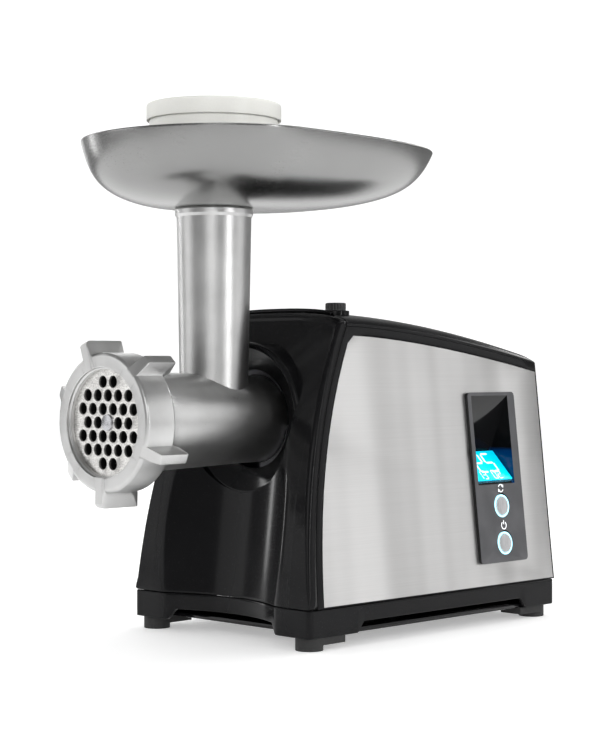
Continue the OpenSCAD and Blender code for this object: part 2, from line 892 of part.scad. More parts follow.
module motor_frame(y0, inner_y) {
    difference() {
        union() {
            bar_y(y0, y0 + 3, 26, motor_z);
            translate([-frame_w / 2, y0, motor_z - 7])
                cube([frame_w, 3, 14]);
            for (x = [-1, 1])
                translate([x > 0 ? frame_w / 2 - 3 : -frame_w / 2, min(y0, inner_y), motor_z - 7])
                    cube([3, abs(inner_y - y0), 14]);
            bar_y(y0, y0 + 6, 8, motor_z);
        }
        bar_y(y0 - 1, y0 + 8, motor_r + run_fit, motor_z);
        for (a = [0:60:300])
            translate([17 * cos(a + 30), y0 + 4, motor_z + 17 * sin(a + 30)])
                rotate([90, 0, 0])
                    cylinder(h = 6, r = 5);
    }
}

module motor_front_frame() {
    color("#9a9da1") motor_frame(pack_y0 - 14, pack_y0 + 6);
}

module motor_rear_frame() {
    color("#9a9da1") motor_frame(comm_y0 + 14, pack_y1 - 6);
}

module carbon_brushes() {
    color("#3a3a3c")
        for (x = [-1, 1])
            difference() {
                translate([x > 0 ? 8.6 : -24, comm_y0 + 2, motor_z - 3])
                    cube([15.4, 6, 6]);
                bar_y(comm_y0, comm_y0 + 10, 8.8, motor_z);
            }
}

module motor_mounts() {
    color("#202123")
        for (y = [pack_y0 + 4, pack_y1 - 12])
            translate([-20, y, skirt_bottom + wall])
                cube([40, 8, motor_z - pack_w / 2 + 4 - skirt_bottom - wall]);
}

module case_screws() {
    z0 = skirt_bottom + 6;
    color("#c9cdd1")
        for (x = [-1, 1]) for (y = screw_ys)
            translate([x * screw_x, y, 0]) {
                translate([0, 0, z0 - 2.4])
                    cylinder(h = 2.4, r = 3.4);
                translate([0, 0, z0])
                    cylinder(h = 22, r = 1.6);
            }
}

// ---------------------------------------------------------------- socket and head

barrel_bore = 22;
barrel_front_r = 26.8;
barrel_rear_r = 24.2;
thread_r = 34;
lug_r = 29;
lug_arc = 40;
lug_len = 4.5;
lug_turns = [60, 180, 300];
release_turn = 45;
socket_y = boss_y + dish + 2.2;
shoulder_y = plate_y + ring_depth - ring_lip + 2;
back_wall_y = boss_y - 9;

// A pie slice of half angle h about the angle a, out to radius r.
module slice(a, h, r) {
    polygon([[0, 0], [r * cos(a - h), r * sin(a - h)], [r * 1.3 * cos(a), r * 1.3 * sin(a)],
             [r * cos(a + h), r * sin(a + h)]]);
}

module socket_ring() {
    color("#b4b7ba") difference() {
        bar_y(socket_y, gear_y - 0.1, 36);
        bar_y(socket_y + 3, gear_y - 2.5, lug_r + 0.6);
        bar_y(boss_y, gear_y + 1, barrel_rear_r + 0.6);
        run_y(boss_y, socket_y + 5)
            translate([0, axis_z])
                intersection() {
                    circle(lug_r + 0.5);
                    union() for (a = lug_turns) slice(a - release_turn, lug_arc / 2 + 2, 40);
                }
        translate([knob_x - latch_w / 2 - 1, lug_y, axis_z + 12])
            cube([latch_w + 2, gear_y - lug_y + 1, 30]);
    }
}

module head_barrel() {
    color("#c6c8ca") difference() {
        union() {
            turned([[plate_y + 1, 0], [plate_y + 1, thread_r - 1], [plate_y + 2, thread_r],
                    [shoulder_y - 4, thread_r], [shoulder_y, barrel_front_r + 1],
                    [shoulder_y + 4, barrel_front_r], [boss_y + 2, barrel_rear_r],
                    [lug_y + lug_len, barrel_rear_r], [lug_y + lug_len, 0]]);
            run_y(lug_y, lug_y + lug_len)
                translate([0, axis_z])
                    intersection() {
                        circle(lug_r);
                        union() for (a = lug_turns) slice(a, lug_arc / 2, 40);
                    }
            translate([0, tube_y, axis_z])
                cylinder(h = tube_top - axis_z - 4, r1 = tube_r - 2.2, r2 = tube_r);
            translate([0, tube_y, tube_top - 4])
                rotate_extrude()
                    polygon([[0, -1], [tube_r, -1], [tube_r + 0.9, 0.6], [tube_r + 0.9, 3],
                             [tube_r, 4], [0, 4]]);
        }
        turned([[plate_y, 0], [plate_y, plate_d / 2 + fit], [plate_y + plate_t, plate_d / 2 + fit],
                [plate_y + plate_t, plate_d / 2 - 1.2], [screw_y, plate_d / 2 - 1.2],
                [screw_y + 3, barrel_bore], [back_wall_y, barrel_bore], [back_wall_y, 0]]);
        bar_y(back_wall_y - 1, boss_y + far, bush_r);
        bar_y(boss_y + 1, lug_y + 10, 20);
        translate([0, tube_y, axis_z])
            cylinder(h = far, r = tube_bore);
        translate([0, tube_y, tube_top - spigot])
            cylinder(h = far, r = tube_bore + 1.4);
        translate([-1.6, plate_y, axis_z - plate_d / 2 - 2])
            cube([3.2, plate_t, 4]);
    }
}

tube_top = rim_z - tray_depth;
spigot = 16;
shank_r = 8;
bush_r = 10.5;

module barrel_bush() {
    color("#e9e6dc")
        turned([[back_wall_y, shank_r + run_fit], [back_wall_y, bush_r - 0.02],
                [boss_y + 1, bush_r - 0.02], [boss_y + 1, shank_r + run_fit]]);
}

auger_r = 21.4;
core_r = 9;
auger_turns = 2.25;
flight_half = 26;

// Cross-section of the screw: a round core with one flight that tapers outwards.
module auger_section() {
    steps = 4;
    polygon(concat(
        [for (i = [0:12]) let (a = flight_half + (360 - 2 * flight_half) * i / 12)
            [core_r * cos(a), core_r * sin(a)]],
        [for (i = [1:steps - 1]) let (a = -flight_half * (1 - 0.55 * i / steps),
                r = core_r + (auger_r - core_r) * i / steps)
            [r * cos(a), r * sin(a)]],
        [for (i = [-1:1]) let (a = 0.45 * flight_half * i) [auger_r * cos(a), auger_r * sin(a)]],
        [for (i = [steps - 1:-1:1]) let (a = flight_half * (1 - 0.55 * i / steps),
                r = core_r + (auger_r - core_r) * i / steps)
            [r * cos(a), r * sin(a)]]));
}

module auger_screw() {
    len = back_wall_y - gap - screw_y - 3;
    color("#b9bcbf")
        translate([0, screw_y + 3 + len, axis_z])
            rotate([90, 0, 0])
                linear_extrude(len, twist = 360 * auger_turns, slices = 42)
                    auger_section();
}

module auger_shank() {
    color("#a4a8ac") {
        bar_y(back_wall_y - gap, boss_y + 3, shank_r);
        translate([-square_w / 2, boss_y + 3, axis_z - square_w / 2])
            cube([square_w, drum_y0 + 13 - boss_y - 3, square_w]);
    }
}

stud_r = 4.2;
knife_sq = 9.5;

module knife_stud() {
    color("#a4a8ac") {
        bar_y(plate_y - 0.8, knife_y, stud_r);
        translate([-knife_sq / 2, knife_y, axis_z - knife_sq / 2])
            cube([knife_sq, screw_y + 3 - knife_y, knife_sq]);
    }
}

knife_r = 27;

module cutting_knife() {
    color("#c9cbcd")
        run_y(knife_y, knife_y + knife_t)
            translate([0, axis_z])
                difference() {
                    union() {
                        circle(10);
                        for (a = [0:90:270])
                            rotate(a)
                                polygon([[-1, -5], [12, -5.5], [knife_r, -8.5], [knife_r + 0.6, -3.5],
                                         [18, 1], [11, 5], [-1, 6]]);
                    }
                    square(knife_sq + 2 * fit, center = true);
                }
}

module cutting_plate() {
    h = hole_pitch * sqrt(3) / 2;
    reach = hole_pitch * sqrt(7) + 0.1;
    color("#b2b5b8") difference() {
        union() {
            bar_y(plate_y, plate_y + plate_t, plate_d / 2);
            translate([-1.4, plate_y + 1.5, axis_z - plate_d / 2 - 1.6])
                cube([2.8, plate_t - 1.5, 3]);
        }
        for (row = [-3:3]) for (col = [-3:3])
            let (x = (col + (abs(row) % 2 == 1 ? 0.5 : 0)) * hole_pitch, z = row * h,
                 d = sqrt(x * x + z * z))
                if (d > 1 && d < reach)
                    bar_y(plate_y - 1, plate_y + plate_t + 1, hole_d / 2, axis_z + z, x);
        bar_y(plate_y - 1, plate_y + plate_t + 1, stud_r + 0.1);
    }
}

lug_h = 8;
lug_t = 7;
lug_angles = [48, 109, 158, 222, 268, 336];

// One finger grip of the ring nut: a fin with a sloping front edge.
module ring_grip(a) {
    y1 = front_y + ring_depth + 4;
    translate([0, 0, axis_z])
        rotate([0, -a, 0])
            translate([0, 0, -lug_t / 2])
                linear_extrude(lug_t)
                    polygon([[ring_r - 5, front_y + 1.2], [ring_r - 0.5, front_y + 1.2],
                             [ring_r + lug_h, front_y + 6], [ring_r + lug_h, y1],
                             [ring_r - 0.5, y1], [ring_r - 0.5, front_y + ring_depth - 1],
                             [ring_r - 5, front_y + ring_depth - 4]]);
}

module ring_nut() {
    color("#b7babc") difference() {
        union() {
            turned([[front_y, 0], [front_y, ring_r - 1.5], [front_y + 1.5, ring_r],
                    [front_y + ring_depth - 1, ring_r], [front_y + ring_depth, ring_r - 1],
                    [front_y + ring_depth, 0]]);
            for (a = lug_angles) ring_grip(a);
        }
        turned([[front_y - 1, 0], [front_y - 1, plate_d / 2 - 2.2], [front_y + 1.5, plate_d / 2 - 2.2],
                [front_y + 2.5, plate_d / 2 - 3.2], [plate_y, plate_d / 2 - 3.2],
                [plate_y, thread_r + gap], [front_y + ring_depth + 8, thread_r + gap],
                [front_y + ring_depth + 8, 0]]);
    }
}

// ---------------------------------------------------------------- tray and pusher

tray_points = 56;
tray_hole = tube_bore + 0.1;
neck_r = tube_bore + 0.75;

// Plan of the rim about the feed hole: half an ellipse in front, half a superellipse behind.
widest = -5;
rear_power = 2 / 2.8;
function rim_point(i) = let (c = cos(360 * i / tray_points), s = sin(360 * i / tray_points))
    s < 0 ? [c * tray_w / 2, widest + s * (tray_front + widest)]
          : [sign(c) * pow(abs(c), rear_power) * tray_w / 2,
             widest + pow(s, rear_power) * (tray_rear - widest)];

// Height of the tray's sheet at the share s of the way from the hole to the rim.
bowl = [[0, 0], [0.2, 0.02], [0.4, 0.07], [0.56, 0.145], [0.7, 0.25], [0.8, 0.36], [0.88, 0.5],
        [0.94, 0.67], [0.98, 0.85], [1, 1]];
function bowl_z(k) = tube_top + tray_depth * bowl[k][1];
function bowl_slope(k) = let (a = max(0, k - 1), b = min(len(bowl) - 1, k + 1))
    (bowl[b][1] - bowl[a][1]) / (bowl[b][0] - bowl[a][0]);

function tray_ring(k, t) = [for (i = [0:tray_points - 1]) let (
        p = rim_point(i),
        d = norm(p),
        u = p / d,
        r = neck_r + (d - neck_r) * bowl[k][0],
        b = k == 0 ? 0 : atan(tray_depth * bowl_slope(k) / (d - neck_r)))
    [u[0] * (r - t * sin(b)), tube_y + u[1] * (r - t * sin(b)),
     k == len(bowl) - 1 ? bowl_z(k) : bowl_z(k) + t * cos(b)]];

module feed_tray() {
    top = len(bowl) - 1;
    color("#bfc1c3") {
        ring_skin(concat(
            [for (k = [0:top]) tray_ring(k, sheet)],
            [for (k = [top:-1:0]) tray_ring(k, 0)]));
        translate([0, tube_y, tube_top - spigot + fit])
            difference() {
                cylinder(h = spigot + sheet - fit, r = tube_bore + 1.4 - fit);
                translate([0, 0, -1])
                    cylinder(h = far, r = tray_hole);
            }
    }
}

cap_top = rim_z + 19.5;
neck_top = cap_top - 3;
head_r = cap_r - 1.6;
head_z = tube_top + 8;
shaft_pr = tube_bore - 0.4;
pusher_z = axis_z + 29;

module pusher_body() {
    color("#e4e3dd") translate([0, tube_y, 0])
        rotate_extrude()
            polygon([[0, pusher_z], [shaft_pr - 1, pusher_z], [shaft_pr, pusher_z + 1],
                     [shaft_pr, head_z], [head_r - 6, head_z + 1.5], [head_r, head_z + 9],
                     [head_r, neck_top], [head_r - 2, neck_top], [head_r - 2, head_z + 9],
                     [head_r - 7, head_z + 3.5], [shaft_pr - 2, head_z + 2],
                     [shaft_pr - 2, pusher_z + 2], [0, pusher_z + 2]]);
}

module pusher_cap() {
    color("#e4e3dd") translate([0, tube_y, 0])
        rotate_extrude()
            polygon([[0, cap_top], [cap_r - 1.2, cap_top], [cap_r, cap_top - 1.2],
                     [cap_r, cap_top - cap_h], [head_r + gap, cap_top - cap_h],
                     [head_r + gap, cap_top - 2.5], [0, cap_top - 2.5]]);
}

base_tray();
bottom_cover();
rubber_feet();
front_cover();
main_shell();
top_cover();
steel_panel_right();
steel_panel_left();
control_bezel();
display_module();
display_window();
button_light_rings();
reverse_button();
power_button();
control_board();
power_board();
power_inlet();
lock_knob();
latch_bar();
latch_guide();
latch_spring();
socket_ring();
gearbox_case();
gearbox_cover();
gear_bushes();
output_wheel();
output_shaft();
layshaft_wheel();
layshaft();
motor_shaft();
motor_rotor();
motor_commutator();
motor_fan();
motor_stator();
motor_windings();
motor_front_frame();
motor_rear_frame();
carbon_brushes();
motor_mounts();
case_screws();
gearbox_screws();
head_barrel();
barrel_bush();
auger_screw();
auger_shank();
knife_stud();
cutting_knife();
cutting_plate();
ring_nut();
feed_tray();
pusher_body();
pusher_cap();
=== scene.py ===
import json
import math

import bmesh
import bpy
import numpy as np
from bpy.props import FloatProperty, FloatVectorProperty, IntProperty, PointerProperty
from mathutils import Matrix, Vector

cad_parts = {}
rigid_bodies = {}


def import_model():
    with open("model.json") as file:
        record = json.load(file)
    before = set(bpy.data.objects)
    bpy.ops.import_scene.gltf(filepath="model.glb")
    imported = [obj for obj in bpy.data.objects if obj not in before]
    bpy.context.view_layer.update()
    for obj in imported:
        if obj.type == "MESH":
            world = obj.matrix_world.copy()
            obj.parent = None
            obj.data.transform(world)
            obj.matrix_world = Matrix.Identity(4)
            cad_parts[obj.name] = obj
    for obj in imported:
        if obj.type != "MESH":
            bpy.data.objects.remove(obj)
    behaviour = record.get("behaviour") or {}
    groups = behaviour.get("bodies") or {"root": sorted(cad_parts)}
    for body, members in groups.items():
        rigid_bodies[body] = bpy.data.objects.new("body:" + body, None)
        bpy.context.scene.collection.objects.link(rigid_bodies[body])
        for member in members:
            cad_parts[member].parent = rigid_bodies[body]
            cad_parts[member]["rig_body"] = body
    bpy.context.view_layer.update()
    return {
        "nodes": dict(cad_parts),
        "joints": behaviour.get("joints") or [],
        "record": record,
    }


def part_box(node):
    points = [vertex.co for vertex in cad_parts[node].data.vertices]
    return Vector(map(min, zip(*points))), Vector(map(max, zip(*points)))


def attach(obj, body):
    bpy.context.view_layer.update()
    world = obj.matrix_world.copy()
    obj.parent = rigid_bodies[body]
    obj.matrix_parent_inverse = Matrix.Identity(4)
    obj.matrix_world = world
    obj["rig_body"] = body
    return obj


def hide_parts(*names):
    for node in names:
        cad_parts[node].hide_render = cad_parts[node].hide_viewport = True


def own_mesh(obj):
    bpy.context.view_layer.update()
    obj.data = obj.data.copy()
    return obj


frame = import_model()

bl_info = {
    "name": "Meat Grinder Looks",
    "version": (1, 0, 0),
    "blender": (4, 5, 0),
    "location": "3D View > Sidebar > Grinder",
    "description": "Builds the covers, castings, tray, controls and finishes of a meat grinder",
    "category": "Object",
}

MM = 0.001
FOOT_LOW, FOOT_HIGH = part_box("base_tray")
FRONT_LOW, FRONT_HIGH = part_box("front_cover")
BUSH_LOW, BUSH_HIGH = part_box("barrel_bush")
RING_LOW, RING_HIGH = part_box("ring_nut")
CAP_LOW, CAP_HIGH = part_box("pusher_cap")
BODY_LOW, BODY_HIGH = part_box("pusher_body")
TRAY_LOW, TRAY_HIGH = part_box("feed_tray")
KNOB_LOW, KNOB_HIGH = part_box("lock_knob")
BEZEL_LOW, BEZEL_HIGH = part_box("control_bezel")
AXIS_Z = (BUSH_LOW.z + BUSH_HIGH.z) / 2
BOSS_Y = BUSH_HIGH.y - MM
TUBE_Y = (CAP_LOW.y + CAP_HIGH.y) / 2
TUBE = (0, TUBE_Y, 0)
KNOB_X, KNOB_Y = (KNOB_LOW.x + KNOB_HIGH.x) / 2, (KNOB_LOW.y + KNOB_HIGH.y) / 2
KNOB_RADIUS = (KNOB_HIGH.x - KNOB_LOW.x) / 2
FRONT_LEAN, FRONT_CURL = 8 * MM, 33 * MM        # how far the front leans and curls back
SEAM_FALL, CROWN_FALL = 20.5 * MM, 22 * MM      # how far the top cover falls to the back
RECESS_FOOT, RECESS_TOP = BEZEL_LOW.z + 45.2 * MM, BEZEL_LOW.z + 66.4 * MM
PLATE_FACE = RING_LOW.y + 5.4 * MM


# ------------------------------------------------------------------ sizes

def distance(name, description, millimetres):
    """A length property whose default is given in millimetres."""
    return FloatProperty(name=name, description=description, default=millimetres * MM,
                         unit="LENGTH")


def number(name, description, default, least, most):
    """A property that counts the points of a surface."""
    return IntProperty(name=name, description=description, default=default, min=least, max=most)


def colour(name, description, value):
    """A colour property with the given default."""
    return FloatVectorProperty(name=name, description=description, default=value, size=3,
                               min=0.0, max=1.0, subtype="COLOR")


class CasingSizes(bpy.types.PropertyGroup):
    """Sizes of the motor casing's covers"""

    lean: FloatProperty(
        name="Side lean", description="Lean of the side walls from the vertical",
        default=math.radians(6.4), min=0.0, max=0.3, unit="ROTATION")
    shoulder: distance("Shoulder drop", "Height from the crown down to the top cover's seam", 8.5)
    wall: distance("Wall", "Thickness of the plastic covers", 2.5)
    boss_radius: distance("Boss radius", "Outer radius of the boss round the head", 43)
    mouth_radius: distance("Mouth radius", "Radius of the opening that takes the head", 27.5)
    dish: distance("Dish", "Depth of the boss's dish", 7.5)
    groove_depth: distance("Groove depth", "Depth of the hollow between the two pillars", 12)
    seam: distance("Seam", "Width of the front cover's side band", 6)
    columns: number("Columns", "Points round the front cover", 440, 120, 640)
    edge: distance("Edge rounding", "Radius of the front cover's side edges", 3)


class HeadSizes(bpy.types.PropertyGroup):
    """Sizes of the ring nut"""

    radius: distance("Ring radius", "Outer radius of the ring nut", 36.5)
    depth: distance("Ring depth", "Depth of the ring nut", 20.5)
    opening: distance("Opening", "Radius of the opening in front of the plate", 28.8)
    lug_height: distance("Lug height", "How far a grip lug stands out", 8)
    lug_width: distance("Lug width", "Width of a grip lug", 7)


class TraySizes(bpy.types.PropertyGroup):
    """Sizes of the feed tray and the pusher"""

    widest: distance("Widest place", "Where the tray is widest, behind the feed hole", -5)
    neck: distance("Neck radius", "Radius at which the bowl starts to rise", 17.95)
    depth: distance("Depth", "Depth of the bowl", 37.4)
    sheet: distance("Sheet", "Thickness of the tray's metal", 1.3)
    columns: number("Columns", "Points round the tray", 224, 48, 512)
    cap_height: distance("Cap height", "Height of the pusher's cap", 9.2)


class ControlSizes(bpy.types.PropertyGroup):
    """Sizes of the buttons, the marks beside them and the display"""

    button: distance("Button radius", "Radius of a button", 5.4)
    glow: distance("Light ring width", "Width of the light ring round a button", 1.1)
    mark: distance("Mark size", "Radius of the marks above the buttons", 2.4)
    face: distance("Bezel height", "How far the bezel stands off the wall", 2.2)
    recess: distance("Recess depth", "Depth of the display's recess", 16)


class FinishColours(bpy.types.PropertyGroup):
    """Colours of the visible finishes"""

    black: colour("Gloss black", "Front cover, top cover and foot skirt", (0.005, 0.005, 0.0055))
    bezel: colour("Bezel grey", "Satin face of the control bezel", (0.075, 0.075, 0.08))
    steel: colour("Side steel", "Brushed side panels", (0.62, 0.615, 0.61))
    cast: colour("Cast metal", "Barrel and ring nut", (0.61, 0.61, 0.606))
    tray: colour("Tray metal", "Spun feed tray", (0.3, 0.3, 0.297))
    plate: colour("Plate steel", "Ground cutting plate", (0.72, 0.71, 0.69))
    white: colour("Pusher white", "Moulded pusher", (0.8, 0.8, 0.76))
    display: colour("Display", "Back-lit display", (0.0, 0.62, 0.85))
    glow: colour("Light ring", "Light rings round the buttons", (0.45, 0.85, 1.0))


# ------------------------------------------------------------------ shapes

TURN = 2 * math.pi
X, Y, Z = np.eye(3)
UPRIGHT = (X, Y, Z)
QUARTER = math.pi / 2
ROUND, SMALL_ROUND = 160, 96     # points round a large and a small turned piece
TINY = 1e-7                      # keeps the points of a sharp corner apart
WELD = 1e-6                      # points closer than this are one point


def mm(*values):
    """Numbers in millimetres as an array in metres."""
    return np.array(values) * MM


def spokes(angles, across=X, up=Z):
    """Unit vectors at the given angles: across cos a + up sin a."""
    return np.cos(angles)[..., None] * across + np.sin(angles)[..., None] * up


def round_angles(steps):
    """Angles of evenly spaced points round a full turn."""
    return np.linspace(0, TURN, steps, endpoint=False)


def smooth(value, low, high):
    """0 below low and 1 above high, with an S-shaped rise 3t^2 - 2t^3 between them."""
    t = np.clip((value - low) / (high - low), 0, 1)
    return t * t * (3 - 2 * t)


def rounded(line, reach, steps=5, loop=False):
    """Corners made into curves: from `reach` before a corner to `reach` after it runs the
    parabola (1-t)^2 a + 2t(1-t) corner + t^2 b. A loop's first and last corners turn too."""
    line = np.asarray(line, float)
    before, after = np.roll(line, 1, 0) - line, np.roll(line, -1, 0) - line
    a_len = np.linalg.norm(before, axis=1, keepdims=True)
    b_len = np.linalg.norm(after, axis=1, keepdims=True)
    reach = np.broadcast_to(np.reshape(reach, (-1, 1)) + TINY, a_len.shape)
    cut = np.minimum(reach, 0.45 * np.minimum(a_len, b_len))
    a, b = line + before / a_len * cut, line + after / b_len * cut
    t = np.linspace(0, 1, steps + 1)[None, :, None]
    curves = (1 - t) ** 2 * a[:, None] + 2 * t * (1 - t) * line[:, None] + t ** 2 * b[:, None]
    if loop:
        return curves.reshape(-1, line.shape[1])
    return np.vstack([line[:1], curves[1:-1].reshape(-1, line.shape[1]), line[-1:]])


def facing_out(points, faces):
    """Faces turned over if the volume that they enclose, the sum of each face's area vector
    dotted with its middle, comes out negative."""
    middle = points.mean(0)
    total = 0.0
    for size in (3, 4):
        some = np.array([f for f in faces if len(f) == size], int)
        if len(some):
            p = points[some] - middle
            area = np.cross(p[:, 1] - p[:, 0], p[:, 2] - p[:, 0])
            if size == 4:
                area = area + np.cross(p[:, 2] - p[:, 0], p[:, 3] - p[:, 0])
            total += (area * p.mean(1)).sum()
    return faces if total > 0 else [f[::-1] for f in faces]


def skin(rows, round_columns=True, round_rows=False, start=None, end=None):
    """Points and faces of a grid of rows by columns. Columns and rows can close on themselves,
    and the first and last row can be closed by a fan of triangles to a point."""
    count, width = rows.shape[:2]
    index = np.arange(count * width).reshape(count, width)
    if round_columns:
        index = np.hstack([index, index[:, :1]])
    if round_rows:
        index = np.vstack([index, index[:1]])
    quads = np.stack([index[:-1, :-1], index[:-1, 1:], index[1:, 1:], index[1:, :-1]], -1)
    faces = quads.reshape(-1, 4).tolist()
    points = rows.reshape(-1, 3)
    for row, tip in ((index[0][::-1], start), (index[-1], end)):
        if tip is not None:
            fan = np.full(len(row) - 1, len(points))
            faces += np.stack([row[:-1], row[1:], fan], -1).tolist()
            points = np.vstack([points, tip])
    return points, facing_out(points, faces)


def turned(profile, origin, basis=UPRIGHT, columns=ROUND, loop=False):
    """A profile of (radius, height) turned round basis[2]: origin + radius (cos a basis[0] +
    sin a basis[1]) + height basis[2]. Unless it is a loop, both ends close on the axis."""
    profile = np.asarray(profile, float)
    origin = np.asarray(origin, float)
    tips = [None, None] if loop else [origin + basis[2] * profile[i, 1] for i in (0, -1)]
    profile = profile[profile[:, 0] > WELD]
    ray = spokes(round_angles(columns), basis[0], basis[1])
    rows = origin + profile[:, :1, None] * ray + profile[:, 1:, None] * basis[2]
    return skin(rows, round_rows=loop, start=tips[0], end=tips[1])


def sideways(line):
    """Unit vectors square to a closed flat line at its points: the step from the point before
    to the point after, turned a quarter."""
    along = np.roll(line, -1, 0) - np.roll(line, 1, 0)
    normal = np.stack([along[:, 1], -along[:, 0]], -1)
    return normal / np.linalg.norm(normal, axis=1, keepdims=True)


def slab(outline, bottom, top, edge, origin, basis):
    """A flat outline run from bottom to top along basis[2], whose top edge is rounded by
    stepping the outline in along its own normals by edge (1 - sin a) as it rises by cos a."""
    normal = sideways(outline)
    onward = np.roll(outline, -1, 0)
    if np.sum(outline[:, 0] * onward[:, 1] - outline[:, 1] * onward[:, 0]) < 0:
        normal = -normal
    a = np.linspace(0, QUARTER, 4)
    inset = np.concatenate([[0], edge * (1 - np.cos(a))])
    height = np.concatenate([[bottom], top - edge * (1 - np.sin(a))])
    flat = outline[None] - inset[:, None, None] * normal[None]
    rows = (np.asarray(origin, float) + flat[..., :1] * basis[0] + flat[..., 1:] * basis[1]
            + height[:, None, None] * basis[2])
    return skin(rows, start=rows[0].mean(0), end=rows[-1].mean(0))


def band(inner, outer, start, stop, bottom, top, origin, basis, steps=24):
    """An arc of a flat ring: the outline goes out along radius `outer` from angle start to
    stop and back along radius `inner`, and is run from bottom to top."""
    a = np.linspace(start, stop, steps)
    ring = np.stack([np.cos(a), np.sin(a)], -1)
    rows = np.stack([inner * ring, outer * ring, outer * ring, inner * ring], 1)
    height = np.array([bottom, bottom, top, top])[None, :, None]
    rows = (np.asarray(origin, float) + rows[..., :1] * basis[0] + rows[..., 1:] * basis[1]
            + height * basis[2])
    return skin(rows, start=rows[0].mean(0), end=rows[-1].mean(0))


def new_object(name, points, faces):
    """An object in the scene, at the origin, with a smooth mesh of the points and faces."""
    mesh = bpy.data.meshes.new(name)
    mesh.from_pydata(points.tolist(), [], faces)
    mesh.polygons.foreach_set("use_smooth", np.ones(len(mesh.polygons), bool))
    item = bpy.data.objects.new(name, mesh)
    bpy.context.scene.collection.objects.link(item)
    return item


def make(name, shells, body, slot, replaces=(), sharp=34.0, finish=None):
    """Joins shells into one mesh, shades it smooth except at edges sharper than `sharp`
    degrees, and lets it ride on a body with the finish of its slot or one of its own."""
    points, faces, first = [], [], 0
    for shell_points, shell_faces in shells:
        points.append(shell_points)
        faces += [[i + first for i in face] for face in shell_faces]
        first += len(shell_points)
    piece = new_object(name, np.vstack(points), faces)
    piece.data.set_sharp_from_angle(angle=math.radians(sharp))
    piece.data.materials.append(bpy.data.materials["finish_" + (finish or slot)])
    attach(piece, body)
    if replaces:
        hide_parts(*replaces)
    return piece


def walled(piece, thickness):
    """Gives an open cover its wall thickness, inwards from its outer face."""
    wall = piece.modifiers.new("wall", "SOLIDIFY")
    wall.thickness = thickness
    wall.offset = -1.0


def holed(piece, shell):
    """Cuts a closed shell out of a piece and keeps the result as the piece's own mesh."""
    cutter = new_object("cutter", *shell)
    cutter.data.shade_flat()
    cut = piece.modifiers.new("hole", "BOOLEAN")
    cut.operation, cut.object, cut.solver = "DIFFERENCE", cutter, "EXACT"
    bpy.context.view_layer.update()
    result = piece.evaluated_get(bpy.context.evaluated_depsgraph_get())
    cut_mesh = bpy.data.meshes.new_from_object(result)
    piece.modifiers.clear()
    piece.data = cut_mesh
    bpy.data.objects.remove(cutter)


class Wall:
    """The right side wall as a frame of its own: out of the wall, along it, and up it."""

    def __init__(self, sizes):
        lean = sizes.lean
        self.out = np.array([math.cos(lean), 0, math.sin(lean)])
        self.up = np.array([-math.sin(lean), 0, math.cos(lean)])
        self.foot = np.array([FOOT_HIGH.x, 0, FOOT_HIGH.z])
        self.basis = (Y, self.up, self.out)
        self.lean = lean

    def slant(self, z):
        """Distance up the leaning wall of a point at height z."""
        return (z - FOOT_HIGH.z) / math.cos(self.lean)

    def at(self, out, y, up):
        """Point at a distance out of the wall, a place along it and a distance up it."""
        return self.foot + out * self.out + y * Y + up * self.up


# ------------------------------------------------------------------ finishes

class Value:
    """A number that varies over a surface. Arithmetic on it adds Math nodes."""

    def __init__(self, finish, socket):
        self.finish = finish
        self.socket = socket

    def math(self, operation, first, second=0.0):
        return self.finish.node("ShaderNodeMath", {"operation": operation}, {0: first, 1: second})

    def __add__(self, other):
        return self.math("ADD", self, other)

    def __sub__(self, other):
        return self.math("SUBTRACT", self, other)

    def __rsub__(self, other):
        return self.math("SUBTRACT", other, self)

    def __mul__(self, other):
        return self.math("MULTIPLY", self, other)

    __radd__ = __add__
    __rmul__ = __mul__

    def above(self, low, high):
        """0 below low, 1 above high, smooth between."""
        return self.finish.node(
            "ShaderNodeMapRange", {"interpolation_type": "SMOOTHSTEP"},
            {0: self, 1: low, 2: high, 3: 0.0, 4: 1.0})


